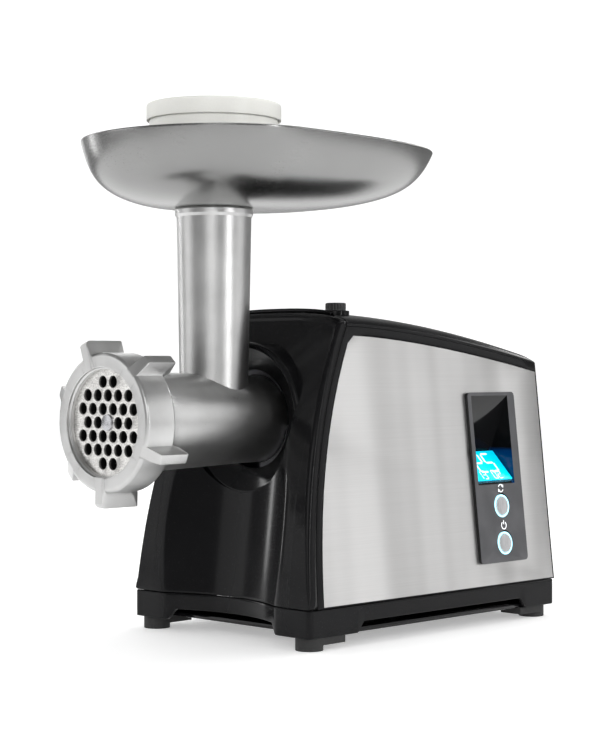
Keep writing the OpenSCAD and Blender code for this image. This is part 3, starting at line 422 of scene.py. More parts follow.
class Finish:
    """A procedural material, built node by node on Object coordinates."""

    def __init__(self, name, base, roughness, metallic=0.0, **constants):
        self.material = bpy.data.materials.new("finish_" + name)
        self.material.use_nodes = True
        self.tree = self.material.node_tree
        self.shader = self.tree.nodes["Principled BSDF"]
        self.base = (*base, 1.0)
        self.set(Base_Color=self.base, Roughness=roughness, Metallic=metallic, **constants)
        self.place = self.node("ShaderNodeTexCoord", {}, {}, "Object")

    def put(self, socket, value):
        if isinstance(value, Value):
            self.tree.links.new(value.socket, socket)
        else:
            socket.default_value = value

    def set(self, **sockets):
        """Sets the shader's sockets; an underscore in a name stands for a space."""
        for name, value in sockets.items():
            self.put(self.shader.inputs[name.replace("_", " ")], value)

    def node(self, kind, settings, inputs, output=0):
        """Adds a node: its settings first, then the values or links of its sockets."""
        node = self.tree.nodes.new(kind)
        for name, value in settings.items():
            setattr(node, name, value)
        for name, value in inputs.items():
            self.put(node.inputs[name], value)
        return Value(self, node.outputs[output])

    def stretched(self, scale, centre=(0.0, 0.0, 0.0)):
        """Object coordinates scaled along each axis about a centre."""
        moved = self.node("ShaderNodeVectorMath", {"operation": "SUBTRACT"},
                          {0: self.place, 1: tuple(centre)})
        return self.node("ShaderNodeMapping", {}, {"Vector": moved, "Scale": tuple(scale)})

    def axis(self, name):
        """One of the object coordinates."""
        return self.node("ShaderNodeSeparateXYZ", {}, {0: self.place}, name)

    def noise(self, scale, detail, where=None):
        """Noise with `scale` bumps a metre, or in the given coordinates."""
        return self.node("ShaderNodeTexNoise", {},
                         {"Vector": where or self.place, "Scale": scale, "Detail": detail})

    def mix(self, share, first, second):
        """A blend of two colours."""
        return self.node("ShaderNodeMix", {"data_type": "RGBA"}, {0: share, 6: first, 7: second}, 2)

    def tint(self, factor):
        """The base colour made darker or lighter by a share of it."""
        return (*(min(1.0, c * factor) for c in self.base[:3]), 1.0)

    def bump(self, height, distance):
        """Relief of the given height in metres, fed to the shader's normal."""
        self.set(Normal=self.node("ShaderNodeBump", {},
                                  {"Height": height, "Distance": distance, "Strength": 1.0},
                                  "Normal"))


def gloss_plastic(name, base, roughness, relief=0.00001):
    """Glossy moulding: faint waviness, smears that dull the gloss, and specks of dust."""
    f = Finish(name, base, roughness, Specular_IOR_Level=0.13)
    smear = f.noise(18, 3).above(0.4, 0.75)
    speck = f.noise(1600, 1).above(0.68, 0.74)
    f.set(Roughness=smear * 0.05 + speck * 0.2 + roughness,
          Base_Color=f.mix(speck * 0.5 + smear * 0.12, f.base, f.tint(2.6)))
    f.bump(f.noise(140, 1) * 0.8 + f.noise(900, 2) * 0.2, relief)


def matt_plastic(name, base, roughness=0.5, grain=1500, relief=0.00012, **constants):
    """Moulded plastic with a spark-eroded grain and slightly uneven tone."""
    f = Finish(name, base, roughness, **constants)
    cloud = f.noise(60, 3)
    fine = f.noise(grain, 2)
    f.set(Roughness=fine * 0.12 + cloud * 0.08 + (roughness - 0.1),
          Base_Color=f.mix(cloud * 0.5 + fine * 0.5, f.tint(0.94), f.tint(1.05)))
    f.bump(fine, relief)


def brush(f, along, relief):
    """Fine brushed lines in relief: noise drawn out along one axis, in two lengths."""
    fine = f.noise(1, 2, f.stretched(along))
    long = f.noise(1, 3, f.stretched([s * 0.28 for s in along], (0.3, 0.2, 0.1)))
    lines = fine * 0.6 + long * 0.4
    f.bump(lines, relief)
    return fine, lines


def brushed_metal(name, base, roughness, along, relief=0.00002):
    """Metal with brushed lines that also change its tone, over soft clouds of roughness."""
    f = Finish(name, base, roughness, 1.0)
    lines = brush(f, along, relief)[1]
    cloud = f.noise(22, 2)
    f.set(Roughness=lines * 0.16 + cloud * 0.06 + (roughness - 0.11),
          Base_Color=f.mix(lines.above(0.3, 0.7), f.tint(0.84), f.tint(1.1)))


def side_steel(name, base):
    """Side panel: lines along the machine, crossed by soft upright stripes of painted reflection.
    """
    f = Finish(name, base, 0.34, 1.0, Anisotropic=0.4)
    line = brush(f, (5200, 26, 5200), 0.00003)[0]
    streak = f.noise(1, 4, f.stretched((1500, 7, 1500)))
    # Painted reflection: soft upright stripes of lighter and darker tone stand in for reflections
    # of the studio lamps.
    painted_reflection_bands = f.noise(1, 2, f.stretched((0, 21, 0.8)))
    tone = painted_reflection_bands.above(0.3, 0.72) * 0.62 + line * 0.2 + streak * 0.18
    f.set(Base_Color=f.mix(tone, f.tint(0.68), f.tint(1.26)),
          Roughness=line * 0.14 + painted_reflection_bands * 0.1 + 0.24)


def blasted_metal(name, base, roughness, grain=1900, relief=0.00007):
    """Cast and bead-blasted aluminium: a fine pebbled skin, cloudy tone, and small pits."""
    f = Finish(name, base, roughness, 1.0)
    pebble = f.noise(grain, 2)
    cloud = f.noise(35, 3)
    pit = f.noise(700, 1).above(0.72, 0.78)
    f.set(Roughness=pebble * 0.14 + cloud * 0.1 + (roughness - 0.12),
          Base_Color=f.mix(cloud.above(0.3, 0.7), f.tint(0.9), f.tint(1.08)))
    f.bump(pebble - pit * 0.6, relief)


def spun_metal(name, base, roughness=0.26):
    """Spun tray metal: rings of fine lines round the feed hole over soft clouds and smears."""
    f = Finish(name, base, roughness, 1.0)
    place = f.stretched((1, 1, 0.001), TUBE)
    radius = f.node("ShaderNodeVectorMath", {"operation": "LENGTH"}, {0: place}, "Value")
    ring = f.node("ShaderNodeTexNoise", {"noise_dimensions": "1D"},
                  {"W": radius, "Scale": 2600.0, "Detail": 3.0})
    cloud = f.noise(16, 3)
    fine = f.noise(2400, 2)
    f.set(Roughness=ring * 0.02 + fine * 0.06 + cloud * 0.1 + (roughness - 0.09),
          Base_Color=f.mix(cloud.above(0.35, 0.7) * 0.8 + ring * 0.2, f.tint(0.94), f.tint(1.05)))
    f.bump(fine, 0.000006)


def plate_steel(name, base):
    """Ground plate: short lines in two directions on the face, and holes painted near black as
    shade.
    """
    f = Finish(name, base, 0.36, 1.0)
    brush(f, (2600, 60, 300), 0.00003)
    # Painted shade: everything behind the plate's face, within its holes, is painted near black.
    painted_hole_shade = f.axis("Y").above(PLATE_FACE, PLATE_FACE + 1.6 * MM)
    lines = f.noise(1, 3, f.stretched((260, 60, 2200)))
    grain = f.noise(1500, 3)
    tone = f.mix((lines * 0.4 + grain * 0.6).above(0.3, 0.7), f.tint(0.72), f.tint(1.3))
    f.set(Base_Color=f.mix(painted_hole_shade, tone, (0.03, 0.03, 0.03, 1.0)),
          Roughness=lines * 0.15 + painted_hole_shade * 0.3 + 0.26)


def bezel_plastic(name, base, sizes, wall):
    """Bezel moulding: satin on its face, polished black on its edges and in its recess, whose rear
    wall has a painted blue glow standing in for the display's light. The face is found by its
    distance out of the wall."""
    f = Finish(name, base, 0.3, Specular_IOR_Level=0.3)
    out = f.node("ShaderNodeVectorMath", {"operation": "DOT_PRODUCT"},
                 {0: f.stretched((1, 1, 1), wall.foot), 1: tuple(wall.out)}, "Value")
    face = out.above(sizes.face - 0.2 * MM, sizes.face - 0.05 * MM)
    fine = f.noise(2600, 2)
    cloud = f.noise(60, 3)
    tone = f.mix(cloud.above(0.35, 0.7), f.tint(0.9), f.tint(1.1))
    along, height = f.axis("Y") - BEZEL_HIGH.y, f.axis("Z") - BEZEL_LOW.z
    # Painted light: the display's blue glow on the recess's rear wall is painted into its colour.
    painted_display_glow = (along.above(-9 * MM, -8 * MM) * (1 - along.above(-4 * MM, -3 * MM))
             * height.above(43 * MM, 45 * MM) * (1 - height.above(64 * MM, 67 * MM))
             * out.above(-22 * MM, -20 * MM))
    deep = f.mix(painted_display_glow, (0.004, 0.004, 0.0045, 1.0), (0.0, 0.03, 0.11, 1.0))
    f.set(Base_Color=f.mix(face, deep, tone),
          Roughness=face * 0.22 + fine * 0.08 + cloud * 0.04 + 0.04)
    f.bump(fine * face, 0.00002)


def glowing(name, base, strength, cell):
    """Glowing plastic, back-lit in the display and the light rings, and a painted glow on the
    printed marks: even light, a little brighter in cells and towards clouds.
    """
    f = Finish(name, base, 0.25, Emission_Strength=strength)
    dots = f.noise(cell, 1).above(0.3, 0.7)
    cloud = f.noise(90, 2)
    f.set(Emission_Color=f.mix(dots * 0.35 + cloud * 0.4, f.tint(0.86), f.tint(1.15)))


def clear_window(name):
    """Clear cover with a faint blue cast and a few smears."""
    f = Finish(name, (0.25, 0.5, 0.7), 0.06)
    smear = f.noise(120, 3).above(0.45, 0.8)
    f.set(Alpha=smear * 0.05 + 0.1, Roughness=smear * 0.15 + 0.05)


# Finishes of one kind that differ only in their numbers.
PLAIN_FINISHES = (
    (matt_plastic, (
        ("knob_black", (0.014, 0.014, 0.015), 0.3, 1800, 0.00004),
        ("foot_rubber", (0.018, 0.018, 0.018), 0.7, 1300, 0.0002),
        ("circuit_board", (0.03, 0.18, 0.08), 0.35, 500, 0.0001),
        ("latch_plastic", (0.8, 0.78, 0.72), 0.45),
        ("gear_nylon", (0.82, 0.78, 0.66), 0.4, 900, 0.00006),
        ("fan_plastic", (0.03, 0.03, 0.03), 0.5),
        ("carbon", (0.03, 0.03, 0.03), 0.6, 2500, 0.0001),
        ("bush_plastic", (0.82, 0.8, 0.74), 0.4))),
    (brushed_metal, (
        ("button_silver", (0.55, 0.55, 0.56), 0.36, (2600, 2600, 90)),
        ("bracket_steel", (0.5, 0.5, 0.51), 0.4, (1800, 60, 1800)),
        ("bright_steel", (0.7, 0.7, 0.7), 0.22, (900, 900, 900)),
        ("shaft_steel", (0.5, 0.5, 0.52), 0.25, (300, 5000, 300)),
        ("core_steel", (0.3, 0.3, 0.3), 0.45, (60, 2500, 60), 0.0001))),
    (blasted_metal, (
        ("socket_metal", (0.07, 0.07, 0.075), 0.5, 1100, 0.0001),
        ("bronze", (0.6, 0.42, 0.2), 0.38, 2200, 0.00005),
        ("copper", (0.6, 0.25, 0.1), 0.35, 700, 0.0002))),
)


def build_finishes(scene):
    """One material for each of the record's slots, and one with a painted glow for the printed
    marks.
    """
    for kind, rows in PLAIN_FINISHES:
        for row in rows:
            kind(*row)
    colours = scene.finish_colours
    gloss_plastic("gloss_black", colours.black, 0.14)
    bezel_plastic("satin_black", colours.bezel, scene.control_sizes, Wall(scene.casing_sizes))
    matt_plastic("white_plastic", colours.white, 0.36, 1100, 0.00003, Subsurface_Weight=0.08,
                 Subsurface_Radius=(0.004, 0.004, 0.003))
    side_steel("side_steel", colours.steel)
    plate_steel("plate_steel", colours.plate)
    blasted_metal("cast_aluminium", colours.cast, 0.32)
    spun_metal("tray_metal", colours.tray)
    glowing("display_blue", colours.display, 0.8, 2200)
    # The printed marks' glow is painted light: they hold no lamp.
    glowing("mark_glow", (0.85, 0.88, 0.9), 0.75, 1500)
    glowing("ring_light", colours.glow, 1.1, 900)
    clear_window("display_glass")


# ------------------------------------------------------------------ pieces

class GrinderOperator:
    """What the operators share."""

    bl_options = {"REGISTER", "UNDO"}


class GRINDER_OT_finishes(GrinderOperator, bpy.types.Operator):
    """Make the finish of every slot and give it to the frame's nodes"""

    bl_idname = "grinder.finishes"
    bl_label = "Finishes"

    def execute(self, context):
        build_finishes(context.scene)
        for row in frame["record"]["subparts"]:
            node = frame["nodes"][row["node"]]
            node.data.materials.clear()
            node.data.materials.append(bpy.data.materials["finish_" + row["material_slot"]])
        return {"FINISHED"}


# Node: width of its rounded edges in millimetres, and the least turn that counts as an edge.
EDGES = {
    "bottom_cover": (0.5, 50), "rubber_feet": (0.7, 60),
    "main_shell": (0.4, 60), "steel_panel_right": (0.2, 60), "steel_panel_left": (0.2, 60),
    "control_bezel": (0.35, 50), "cutting_plate": (0.25, 60),
    "power_inlet": (0.4, 60), "cutting_knife": (0.2, 60), "display_module": (0.1, 60),
    "display_window": (0.1, 60), "knife_stud": (0.4, 60), "socket_ring": (0.3, 60),
}


class GRINDER_OT_edges(GrinderOperator, bpy.types.Operator):
    """Shade the frame's own nodes smooth and round the edges of those that show"""

    bl_idname = "grinder.edges"
    bl_label = "Edges"

    def execute(self, context):
        for name, node in frame["nodes"].items():
            width, turn = EDGES.get(name, (0.0, 60))
            node.data.polygons.foreach_set("use_smooth", np.ones(len(node.data.polygons), bool))
            weld = node.modifiers.new("weld", "WELD")
            weld.merge_threshold = WELD
            if width:
                bevel = node.modifiers.new("edge", "BEVEL")
                bevel.width, bevel.segments = width * MM, 2
                bevel.limit_method, bevel.angle_limit = "ANGLE", math.radians(turn)
            split = node.modifiers.new("creases", "EDGE_SPLIT")
            split.split_angle = math.radians(26)
        return {"FINISHED"}


def half_width(sizes, z):
    """Half the casing's width at height z, between its leaning walls."""
    return FOOT_HIGH.x - (z - FOOT_HIGH.z) * math.tan(sizes.lean)


def rise(sizes, z):
    """Share of the way up the front, from the skirt to just above the shoulder."""
    return (z - FOOT_HIGH.z) / (FRONT_HIGH.z - sizes.shoulder - FOOT_HIGH.z + 1.5 * MM)


def front_line(sizes, z):
    """Place of the front at height z: the lean times the rise plus the curl times rise^2.4."""
    share = rise(sizes, z)
    return FOOT_LOW.y + FRONT_LEAN * share + FRONT_CURL * np.maximum(share, 0) ** 2.4


def groove_radius(sizes):
    """Radius of the round groove that is boss-wide and groove_depth deep."""
    half = sizes.boss_radius + MM
    return (half ** 2 + sizes.groove_depth ** 2) / (2 * sizes.groove_depth)


def groove(sizes, x, z):
    """Soft maximum of the front line and a round groove that leans back with it: the mean of
    the two plus half the root of their difference squared plus 1.6 mm squared."""
    front = front_line(sizes, z)
    check = AXIS_Z - 30 * MM
    tilt = (front_line(sizes, check) - FOOT_LOW.y) / (check - FOOT_HIGH.z)
    radius = groove_radius(sizes)
    hollow = (FOOT_LOW.y + (z - FOOT_HIGH.z) * tilt - radius + sizes.groove_depth
              + np.sqrt(np.maximum(radius ** 2 - x ** 2, 0)))
    hollow = np.where(np.abs(x) > sizes.boss_radius + 11 * MM, front - 30 * MM, hollow)
    hollow = hollow - 30 * MM * smooth(z, AXIS_Z - 6 * MM, AXIS_Z + 6 * MM)
    return (front + hollow + np.hypot(hollow - front, 1.6 * MM)) / 2


def arch(half, low, high, steps):
    """Superellipse arch: x = half sgn(cos a)|cos a|^0.8, z = low + (high - low) sin(a)^0.8."""
    a = np.linspace(0, math.pi, steps)
    x = half * np.sign(np.cos(a)) * np.abs(np.cos(a)) ** 0.8
    return np.stack([x, low + (high - low) * np.sin(a) ** 0.8], -1)


def spread(line, count):
    """Points spaced evenly along a closed line, with its sharp corners kept."""
    closed = np.vstack([line, line[:1]])
    length = np.concatenate([[0], np.cumsum(np.linalg.norm(np.diff(closed, axis=0), axis=1))])
    at = np.linspace(0, length[-1], count, endpoint=False)
    return np.stack([np.interp(at, length, closed[:, i]) for i in (0, 1)], -1)


class GRINDER_OT_front_cover(GrinderOperator, bpy.types.Operator):
    """Front cover: two pillars, the groove between them and the dished boss round the head"""

    bl_idname = "grinder.front_cover"
    bl_label = "Front cover"

    def execute(self, context):
        s = context.scene.casing_sizes
        shoulder, low = FRONT_HIGH.z - s.shoulder, FRONT_LOW.z
        foot = half_width(s, low)
        crown = arch(half_width(s, shoulder), shoulder, FRONT_HIGH.z, 61)
        reach = np.zeros(len(crown) + 2)
        reach[[0, -1]] = 1.2 * MM
        outline = spread(rounded(np.vstack([[[foot, low]], crown, [[-foot, low]]]), reach, 3, True),
                         s.columns)
        centre = np.array([0, AXIS_Z])
        far = np.linalg.norm(outline - centre, axis=1)
        ray = (outline - centre) / far[:, None]
        z = outline[:, 1]

        def ring(radius, place):
            """A row at a distance from the head's axis; its depth is a function of x and z."""
            flat = centre + ray * np.reshape(radius, (-1, 1))
            x, height = np.broadcast_to(flat, outline.shape).T
            return np.stack([x, place(x, height) + 0 * x, height], -1)

        def dished(x, height):
            return groove(s, x, height)

        b, m, lip = s.boss_radius, s.mouth_radius, 2.2 * MM
        rim = rounded([[m, s.dish + 2 * MM], [m, s.dish], [b - 3.4 * MM, 0.3 * MM],
                       [b - 2.8 * MM, 0], [b - lip, 0]], mm(0, 0.8, 1.2, 0.3, 0), 4)
        rows = [ring(r, lambda *_, y=y: BOSS_Y + y) for r, y in rim]
        for turn in np.linspace(0, QUARTER, 9):
            y = BOSS_Y + lip * (1 - math.cos(turn))
            rows.append(ring(b - lip + lip * math.sin(turn),
                             lambda *at, y=y: np.minimum(y, dished(*at))))
        foot_row = dished(*(centre + ray * b).T)
        edge_y = np.minimum(BOSS_Y + lip, foot_row)
        for share in (0.25, 0.5, 0.75, 1.0):
            rows.append(ring(b, lambda *_, t=share: edge_y + (foot_row - edge_y) * t))
        edge = 0.6 * MM + (s.edge - 0.6 * MM) * smooth(z, low + 0.5 * MM, low + 6 * MM)
        edge = edge + 2 * MM * smooth(z, shoulder - 5 * MM, FRONT_HIGH.z - MM)
        for share in np.linspace(0, 1, 56)[1:]:
            rows.append(ring(b + 0.01 * MM + (far - edge - b) * share, dished))
        last = rows[-1][:, 1]
        for turn in np.linspace(0, QUARTER, 9)[1:]:
            rows.append(ring(far - edge * (1 - math.sin(turn)),
                             lambda *_, a=turn: last + edge * (1 - math.cos(a))))
        side = rows[-1][:, 1]
        seam = front_line(s, np.minimum(z, shoulder)) + s.seam
        back = np.where(z < low + 0.4 * MM, side + 0.4 * MM, seam)
        rows += [ring(far, lambda *_: (side + back) / 2), ring(far, lambda *_: back)]
        piece = make("front_shell", [skin(np.array(rows))], "casing", "gloss_black",
                     ["front_cover"], 60)
        walled(piece, s.wall * 0.8)
        return {"FINISHED"}


class GRINDER_OT_skirt(GrinderOperator, bpy.types.Operator):
    """Foot skirt: a wall round the foot whose lower edge steps up over wide low arches, its
    front pushed in to the groove between the pillars"""

    bl_idname = "grinder.skirt"
    bl_label = "Foot skirt"

    def execute(self, context):
        s = context.scene.casing_sizes
        half, front, rear = FOOT_HIGH.x, FOOT_LOW.y, FOOT_HIGH.y
        corners = [[half, front], [half, rear], [-half, rear], [-half, front]]
        line = spread(rounded(corners, 3 * MM, 6, True), 900)
        normal = sideways(line)
        x, y = np.abs(line[:, 0]), line[:, 1]
        step, high = 6 * MM, 15 * MM
        inner, start, stop = half - 26 * MM, front + 37 * MM, rear - 28 * MM
        ends = 1 - smooth(x, inner - step, inner)
        sides = smooth(y, start, start + step) * (1 - smooth(y, stop - step, stop))
        low = FOOT_LOW.z + step * np.where(x > half - 4 * MM, sides, ends)
        loop = rounded([[0, 0], [0, high], [s.wall, high], [s.wall, 0]],
                       mm(0.6, 1.2, 0.3, 0.3), 5, True)
        radius = groove_radius(s)
        dent = np.sqrt(radius ** 2 - np.minimum(x, radius) ** 2) - radius + s.groove_depth
        dent = (dent + np.hypot(dent, 1.2 * MM)) / 2 * (y < 0)
        rows = []
        for inset, height in loop:
            z = low + height if height < high / 2 else FOOT_HIGH.z - high + height + 0 * low
            flat = line - inset * normal
            rows.append(np.stack([flat[:, 0], flat[:, 1] + dent, z], -1))
        make("foot_skirt", [skin(np.array(rows), round_rows=True)], "casing", "gloss_black",
             ["base_tray"], 50)
        return {"FINISHED"}


def top_arch(sizes, y, steps=121):
    """One arch of the top cover at y: its shoulder falls as share^1.55 and its crown as
    share^1.9 from the front seam to the back, where the last 8 mm roll over."""
    shoulder = FRONT_HIGH.z - sizes.shoulder
    start = front_line(sizes, shoulder) + sizes.seam
    share = max(0.0, (y - start) / (FOOT_HIGH.y - start))
    low = shoulder - SEAM_FALL * share ** 1.55
    high = FRONT_HIGH.z - CROWN_FALL * share ** 1.9
    roll = 1 - 0.35 * max(0.0, 1 - (FOOT_HIGH.y - y) / (8 * MM)) ** 2
    flat = arch(half_width(sizes, low), low, low + (high - low) * roll, steps)
    return np.stack([flat[:, 0], np.full(steps, y), flat[:, 1]], -1)


class GRINDER_OT_top_cover(GrinderOperator, bpy.types.Operator):
    """Crowned top cover, closed at its back, with the collar that the release knob stands in"""

    bl_idname = "grinder.top_cover"
    bl_label = "Top cover"

    def execute(self, context):
        s = context.scene.casing_sizes
        low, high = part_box("top_cover")
        lip = 1.5 * MM
        rows = []
        for turn in np.linspace(QUARTER, 0, 7):
            row = top_arch(s, low.y + lip * (1 - math.sin(turn)))
            row[:, 2] -= (lip * (1 - math.cos(turn))
                          * smooth(row[:, 2], row[0, 2], row[0, 2] + 2 * lip))
            rows.append(row)
        reach = high.y - low.y - lip
        rows += [top_arch(s, low.y + lip + reach * math.sin(turn))
                 for turn in np.linspace(0, QUARTER, 70)[1:]]
        back = rows[-1]
        for share in (0.6, 0.3, 0.0):
            closing = back.copy()
            closing[:, 2] = (back[0, 2] + (back[:, 2] - back[0, 2]) * share
                             - 0.2 * MM * (1 - share))
            rows.append(closing)
        piece = make("top_shell", [skin(np.array(rows), round_columns=False)], "casing",
                     "gloss_black", ["top_cover"], 40)
        walled(piece, s.wall)
        place = (KNOB_X, KNOB_Y, high.z)
        inner, outer, deep = KNOB_RADIUS + 0.3 * MM, KNOB_RADIUS + 1.9 * MM, 20 * MM
        hole = [[0, -deep], [inner, -deep], [inner, deep], [0, deep]]
        holed(piece, turned(hole, place, columns=SMALL_ROUND))
        collar = rounded([[inner, -4.6 * MM], [outer, -4.6 * MM], [outer, 0], [inner, 0]],
                         mm(0.1, 0.1, 0.5, 0.3), 4, True)
        make("knob_collar", [turned(collar, place, columns=SMALL_ROUND, loop=True)],
             "casing", "gloss_black")
        return {"FINISHED"}


class GRINDER_OT_tray(GrinderOperator, bpy.types.Operator):
    """Spun feed tray: a bowl whose height is 0.42 s^2 + 0.24 s^5 + 0.34 s^14 of its depth"""

    bl_idname = "grinder.tray"
    bl_label = "Feed tray"

    def execute(self, context):
        s = context.scene.tray_sizes
        half = (TRAY_HIGH.x - TRAY_LOW.x) / 2
        front = TUBE_Y - TRAY_LOW.y + s.widest
        rear = TRAY_HIGH.y - TUBE_Y - s.widest
        a = round_angles(s.columns)
        cos, sin = np.cos(a), np.sin(a)
        power = 1 / 1.4
        back = np.stack([np.sign(cos) * np.abs(cos) ** power * half,
                         s.widest + np.abs(sin) ** power * rear], -1)
        fore = np.stack([cos * half, s.widest + sin * front], -1)
        rim = spread(np.where((sin < 0)[:, None], fore, back), s.columns)
        far = np.linalg.norm(rim, axis=1)
        ray = rim / far[:, None]
        top = TRAY_HIGH.z - s.sheet / 2
        bottom = TRAY_HIGH.z - s.depth

        def wall(share, off):
            """A ring of the bowl at a share of the way out, set off along its own normal."""
            run = far - s.neck
            height = 0.42 * share ** 2 + 0.24 * share ** 5 + 0.34 * share ** 14
            slope = 0.84 * share + 1.2 * share ** 4 + 4.76 * share ** 13
            lean = np.arctan(slope * (top - bottom) / run)
            r = s.neck + run * share - off * np.sin(lean)
            up = bottom + (top - bottom) * height + off * np.cos(lean)
            return np.stack([ray[:, 0] * r, TUBE_Y + ray[:, 1] * r, up + 0 * r], -1)

        out = 1 - (1 - np.linspace(0, 1, 46)) ** 1.6
        rows = [wall(t, 0.0) for t in out]
        outer, inner = wall(1.0, 0.0), wall(1.0, s.sheet)
        middle, spoke = (outer + inner) / 2, (outer - inner) / 2
        up = np.array([0, 0, s.sheet / 2])
        rows += [middle + spoke * math.cos(t) + up * math.sin(t)
                 for t in np.linspace(0, math.pi, 9)[1:-1]]
        rows += [wall(t, s.sheet) for t in out[::-1]]
        bowl = skin(np.array(rows), round_rows=True)
        bore, low, high = s.neck - 0.65 * MM, TRAY_LOW.z, bottom + s.sheet * 0.9
        tube = bore + 1.1 * MM
        spigot = rounded([[bore, low], [tube, low], [tube, high], [bore, high]],
                         0.2 * MM, 3, True)
        make("tray_bowl", [bowl, turned(spigot, TUBE, loop=True)],
             "tray", "tray_metal", ["feed_tray"], 50)
        return {"FINISHED"}


class GRINDER_OT_pusher(GrinderOperator, bpy.types.Operator):
    """Hollow pusher and the cap over it, as turned profiles with moulded edges"""

    bl_idname = "grinder.pusher"
    bl_label = "Pusher"

    def execute(self, context):
        s = context.scene.tray_sizes
        cap = (CAP_HIGH.x - CAP_LOW.x) / 2
        head = (BODY_HIGH.x - BODY_LOW.x) / 2
        stem = s.neck - 1.15 * MM
        low, neck = BODY_LOW.z, BODY_HIGH.z
        seat = TRAY_HIGH.z - s.depth + 8 * MM
        hollow, bore, floor = head - 2 * MM, stem - 2 * MM, low + 2 * MM
        body = [[0, low], [stem, low], [stem, seat], [head - 6 * MM, seat + 1.5 * MM],
                [head, seat + 9 * MM], [head, neck], [hollow, neck], [hollow, seat + 9 * MM],
                [head - 7 * MM, seat + 3.5 * MM], [bore, seat + 2 * MM], [bore, floor], [0, floor]]
        reach = mm(0, 1.2, 1.5, 3, 3, 0.5, 0.5, 3, 3, 1.5, 1, 0)
        make("pusher_stem", [turned(rounded(body, reach, 5), TUBE)], "pusher", "white_plastic",
             ["pusher_body"], 50)
        top, skirt, under = CAP_HIGH.z, CAP_HIGH.z - s.cap_height, CAP_HIGH.z - 2.5 * MM
        inner = head + 0.3 * MM
        lid = [[0, top - 0.25 * MM], [cap - 6 * MM, top - 0.2 * MM], [cap - 4 * MM, top],
               [cap, top], [cap, skirt], [inner, skirt], [inner, under], [0, under]]
        reach = mm(0, 1, 1, 2.0, 0.6, 0.4, 0.6, 0)
        make("pusher_lid", [turned(rounded(lid, reach, 6), TUBE)], "cap", "white_plastic",
             ["pusher_cap"], 50)
        return {"FINISHED"}


# Grip lugs of the ring nut: angle in degrees, and 1 for a rib that runs on over the front face.
LUGS = ((48, 0), (109, 1), (158, 0), (222, 0), (268, 1), (336, 0))


class GRINDER_OT_ring_nut(GrinderOperator, bpy.types.Operator):
    """Cast ring nut. Each column blends a plain profile into a lug's profile by a smooth step
    across the lug, and stays at one distance from the lug's middle, so its sides are parallel"""

    bl_idname = "grinder.ring_nut"
    bl_label = "Ring nut"

    def execute(self, context):
        s = context.scene.head_sizes
        r, d, o, high = s.radius, s.depth, s.opening, s.radius + s.lug_height
        bore, step, tail = 34.3 * MM, 5.2 * MM, d + 4 * MM
        plain = [[bore, d], [bore, step], [o - MM, step], [o - MM, 2.9 * MM], [o, 2.4 * MM],
                 [o, MM], [r - 1.4 * MM, MM], [r, 2.2 * MM], [r, d - 1.2 * MM],
                 [r - 0.6 * MM, d - 0.5 * MM], [r - 1.2 * MM, d]]
        grip = plain[:6] + [[r - 2.2 * MM, MM], [high, 6.5 * MM], [high, tail],
                            [r - 0.1 * MM, tail], [r - 0.6 * MM, d]]
        rib = plain[:5] + [[o - 0.6 * MM, 0], [high - 1.6 * MM, 0], [high, 2.2 * MM]] + grip[8:]
        reach = mm(0.4, 0.3, 0.3, 0.3, 0.3, 0.5, 0.8, 0.8, 0.8, 0.5, 0.3)
        plain, *lugs = (rounded(p, reach, 4, True) for p in (plain, grip, rib))
        edge = s.lug_width / 2
        offsets = edge + mm(2.0, 0.9, 0.4, 0.15, -0.05, -0.25, -0.45, -0.65, -0.9, -1.4, -2.2)
        offsets = np.concatenate([-offsets, [0], offsets[::-1]])
        blend = 1 - smooth(np.abs(offsets), edge - 0.95 * MM, edge + 0.1 * MM)
        clear = math.asin((edge + 2.0 * MM) / bore) + 0.02
        columns = []
        for (angle, big), (following, _) in zip(LUGS, LUGS[1:] + ((LUGS[0][0] + 360, 0),)):
            middle = math.radians(angle)
            profile = plain[None] + blend[:, None, None] * (lugs[big] - plain)[None]
            out = np.sqrt(profile[..., 0] ** 2 - offsets[:, None] ** 2)
            side = offsets[:, None] + 0 * out
            columns.append(np.stack([out * math.cos(middle) - side * math.sin(middle),
                                     profile[..., 1],
                                     out * math.sin(middle) + side * math.cos(middle)], -1))
            start, stop = middle + clear, math.radians(following) - clear
            a = np.linspace(start, stop, max(8, int((stop - start) / math.radians(1.6))))
            columns.append(plain[None, :, :1] * spokes(a)[:, None] + plain[None, :, 1:] * Y)
        rows = np.concatenate(columns).transpose(1, 0, 2) + np.array([0, RING_LOW.y, AXIS_Z])
        make("ring_casting", [skin(rows, round_rows=True)], "ring", "cast_aluminium",
             ["ring_nut"], 46)
        return {"FINISHED"}


class GRINDER_OT_spring(GrinderOperator, bpy.types.Operator):
    """Latch spring: a round wire carried along a helix whose first and last turns lie flat"""

    bl_idname = "grinder.spring"
    bl_label = "Latch spring"

    def execute(self, context):
        low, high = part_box("latch_spring")
        tall = high.z - low.z
        wire, turns = 0.45 * MM, 5
        radius = (high.x - low.x) / 2 - wire
        t = np.linspace(0, 1, 24 * turns + 1)
        ray = spokes(TURN * turns * t, X, Y)
        lift = low.z + wire + (tall - 2 * wire) * smooth(t, 0.12, 0.88)
        middle = radius * ray + np.array([KNOB_X, KNOB_Y, 0]) + lift[:, None] * Z
        a = round_angles(12)[None, :, None]
        rows = middle[:, None] + wire * (np.cos(a) * ray[:, None] + np.sin(a) * Z)
        body = frame["nodes"]["latch_spring"]["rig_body"]
        piece = make("coil_spring", [skin(rows, start=middle[0], end=middle[-1])], body,
                     "bright_steel", ["latch_spring"], 60)
        press = next(j for j in frame["joints"] if j["name"] == "release_press")
        travel = max(abs(v) for v in press["range_m"])
        1 - travel / tall
        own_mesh(piece)
        return {"FINISHED"}


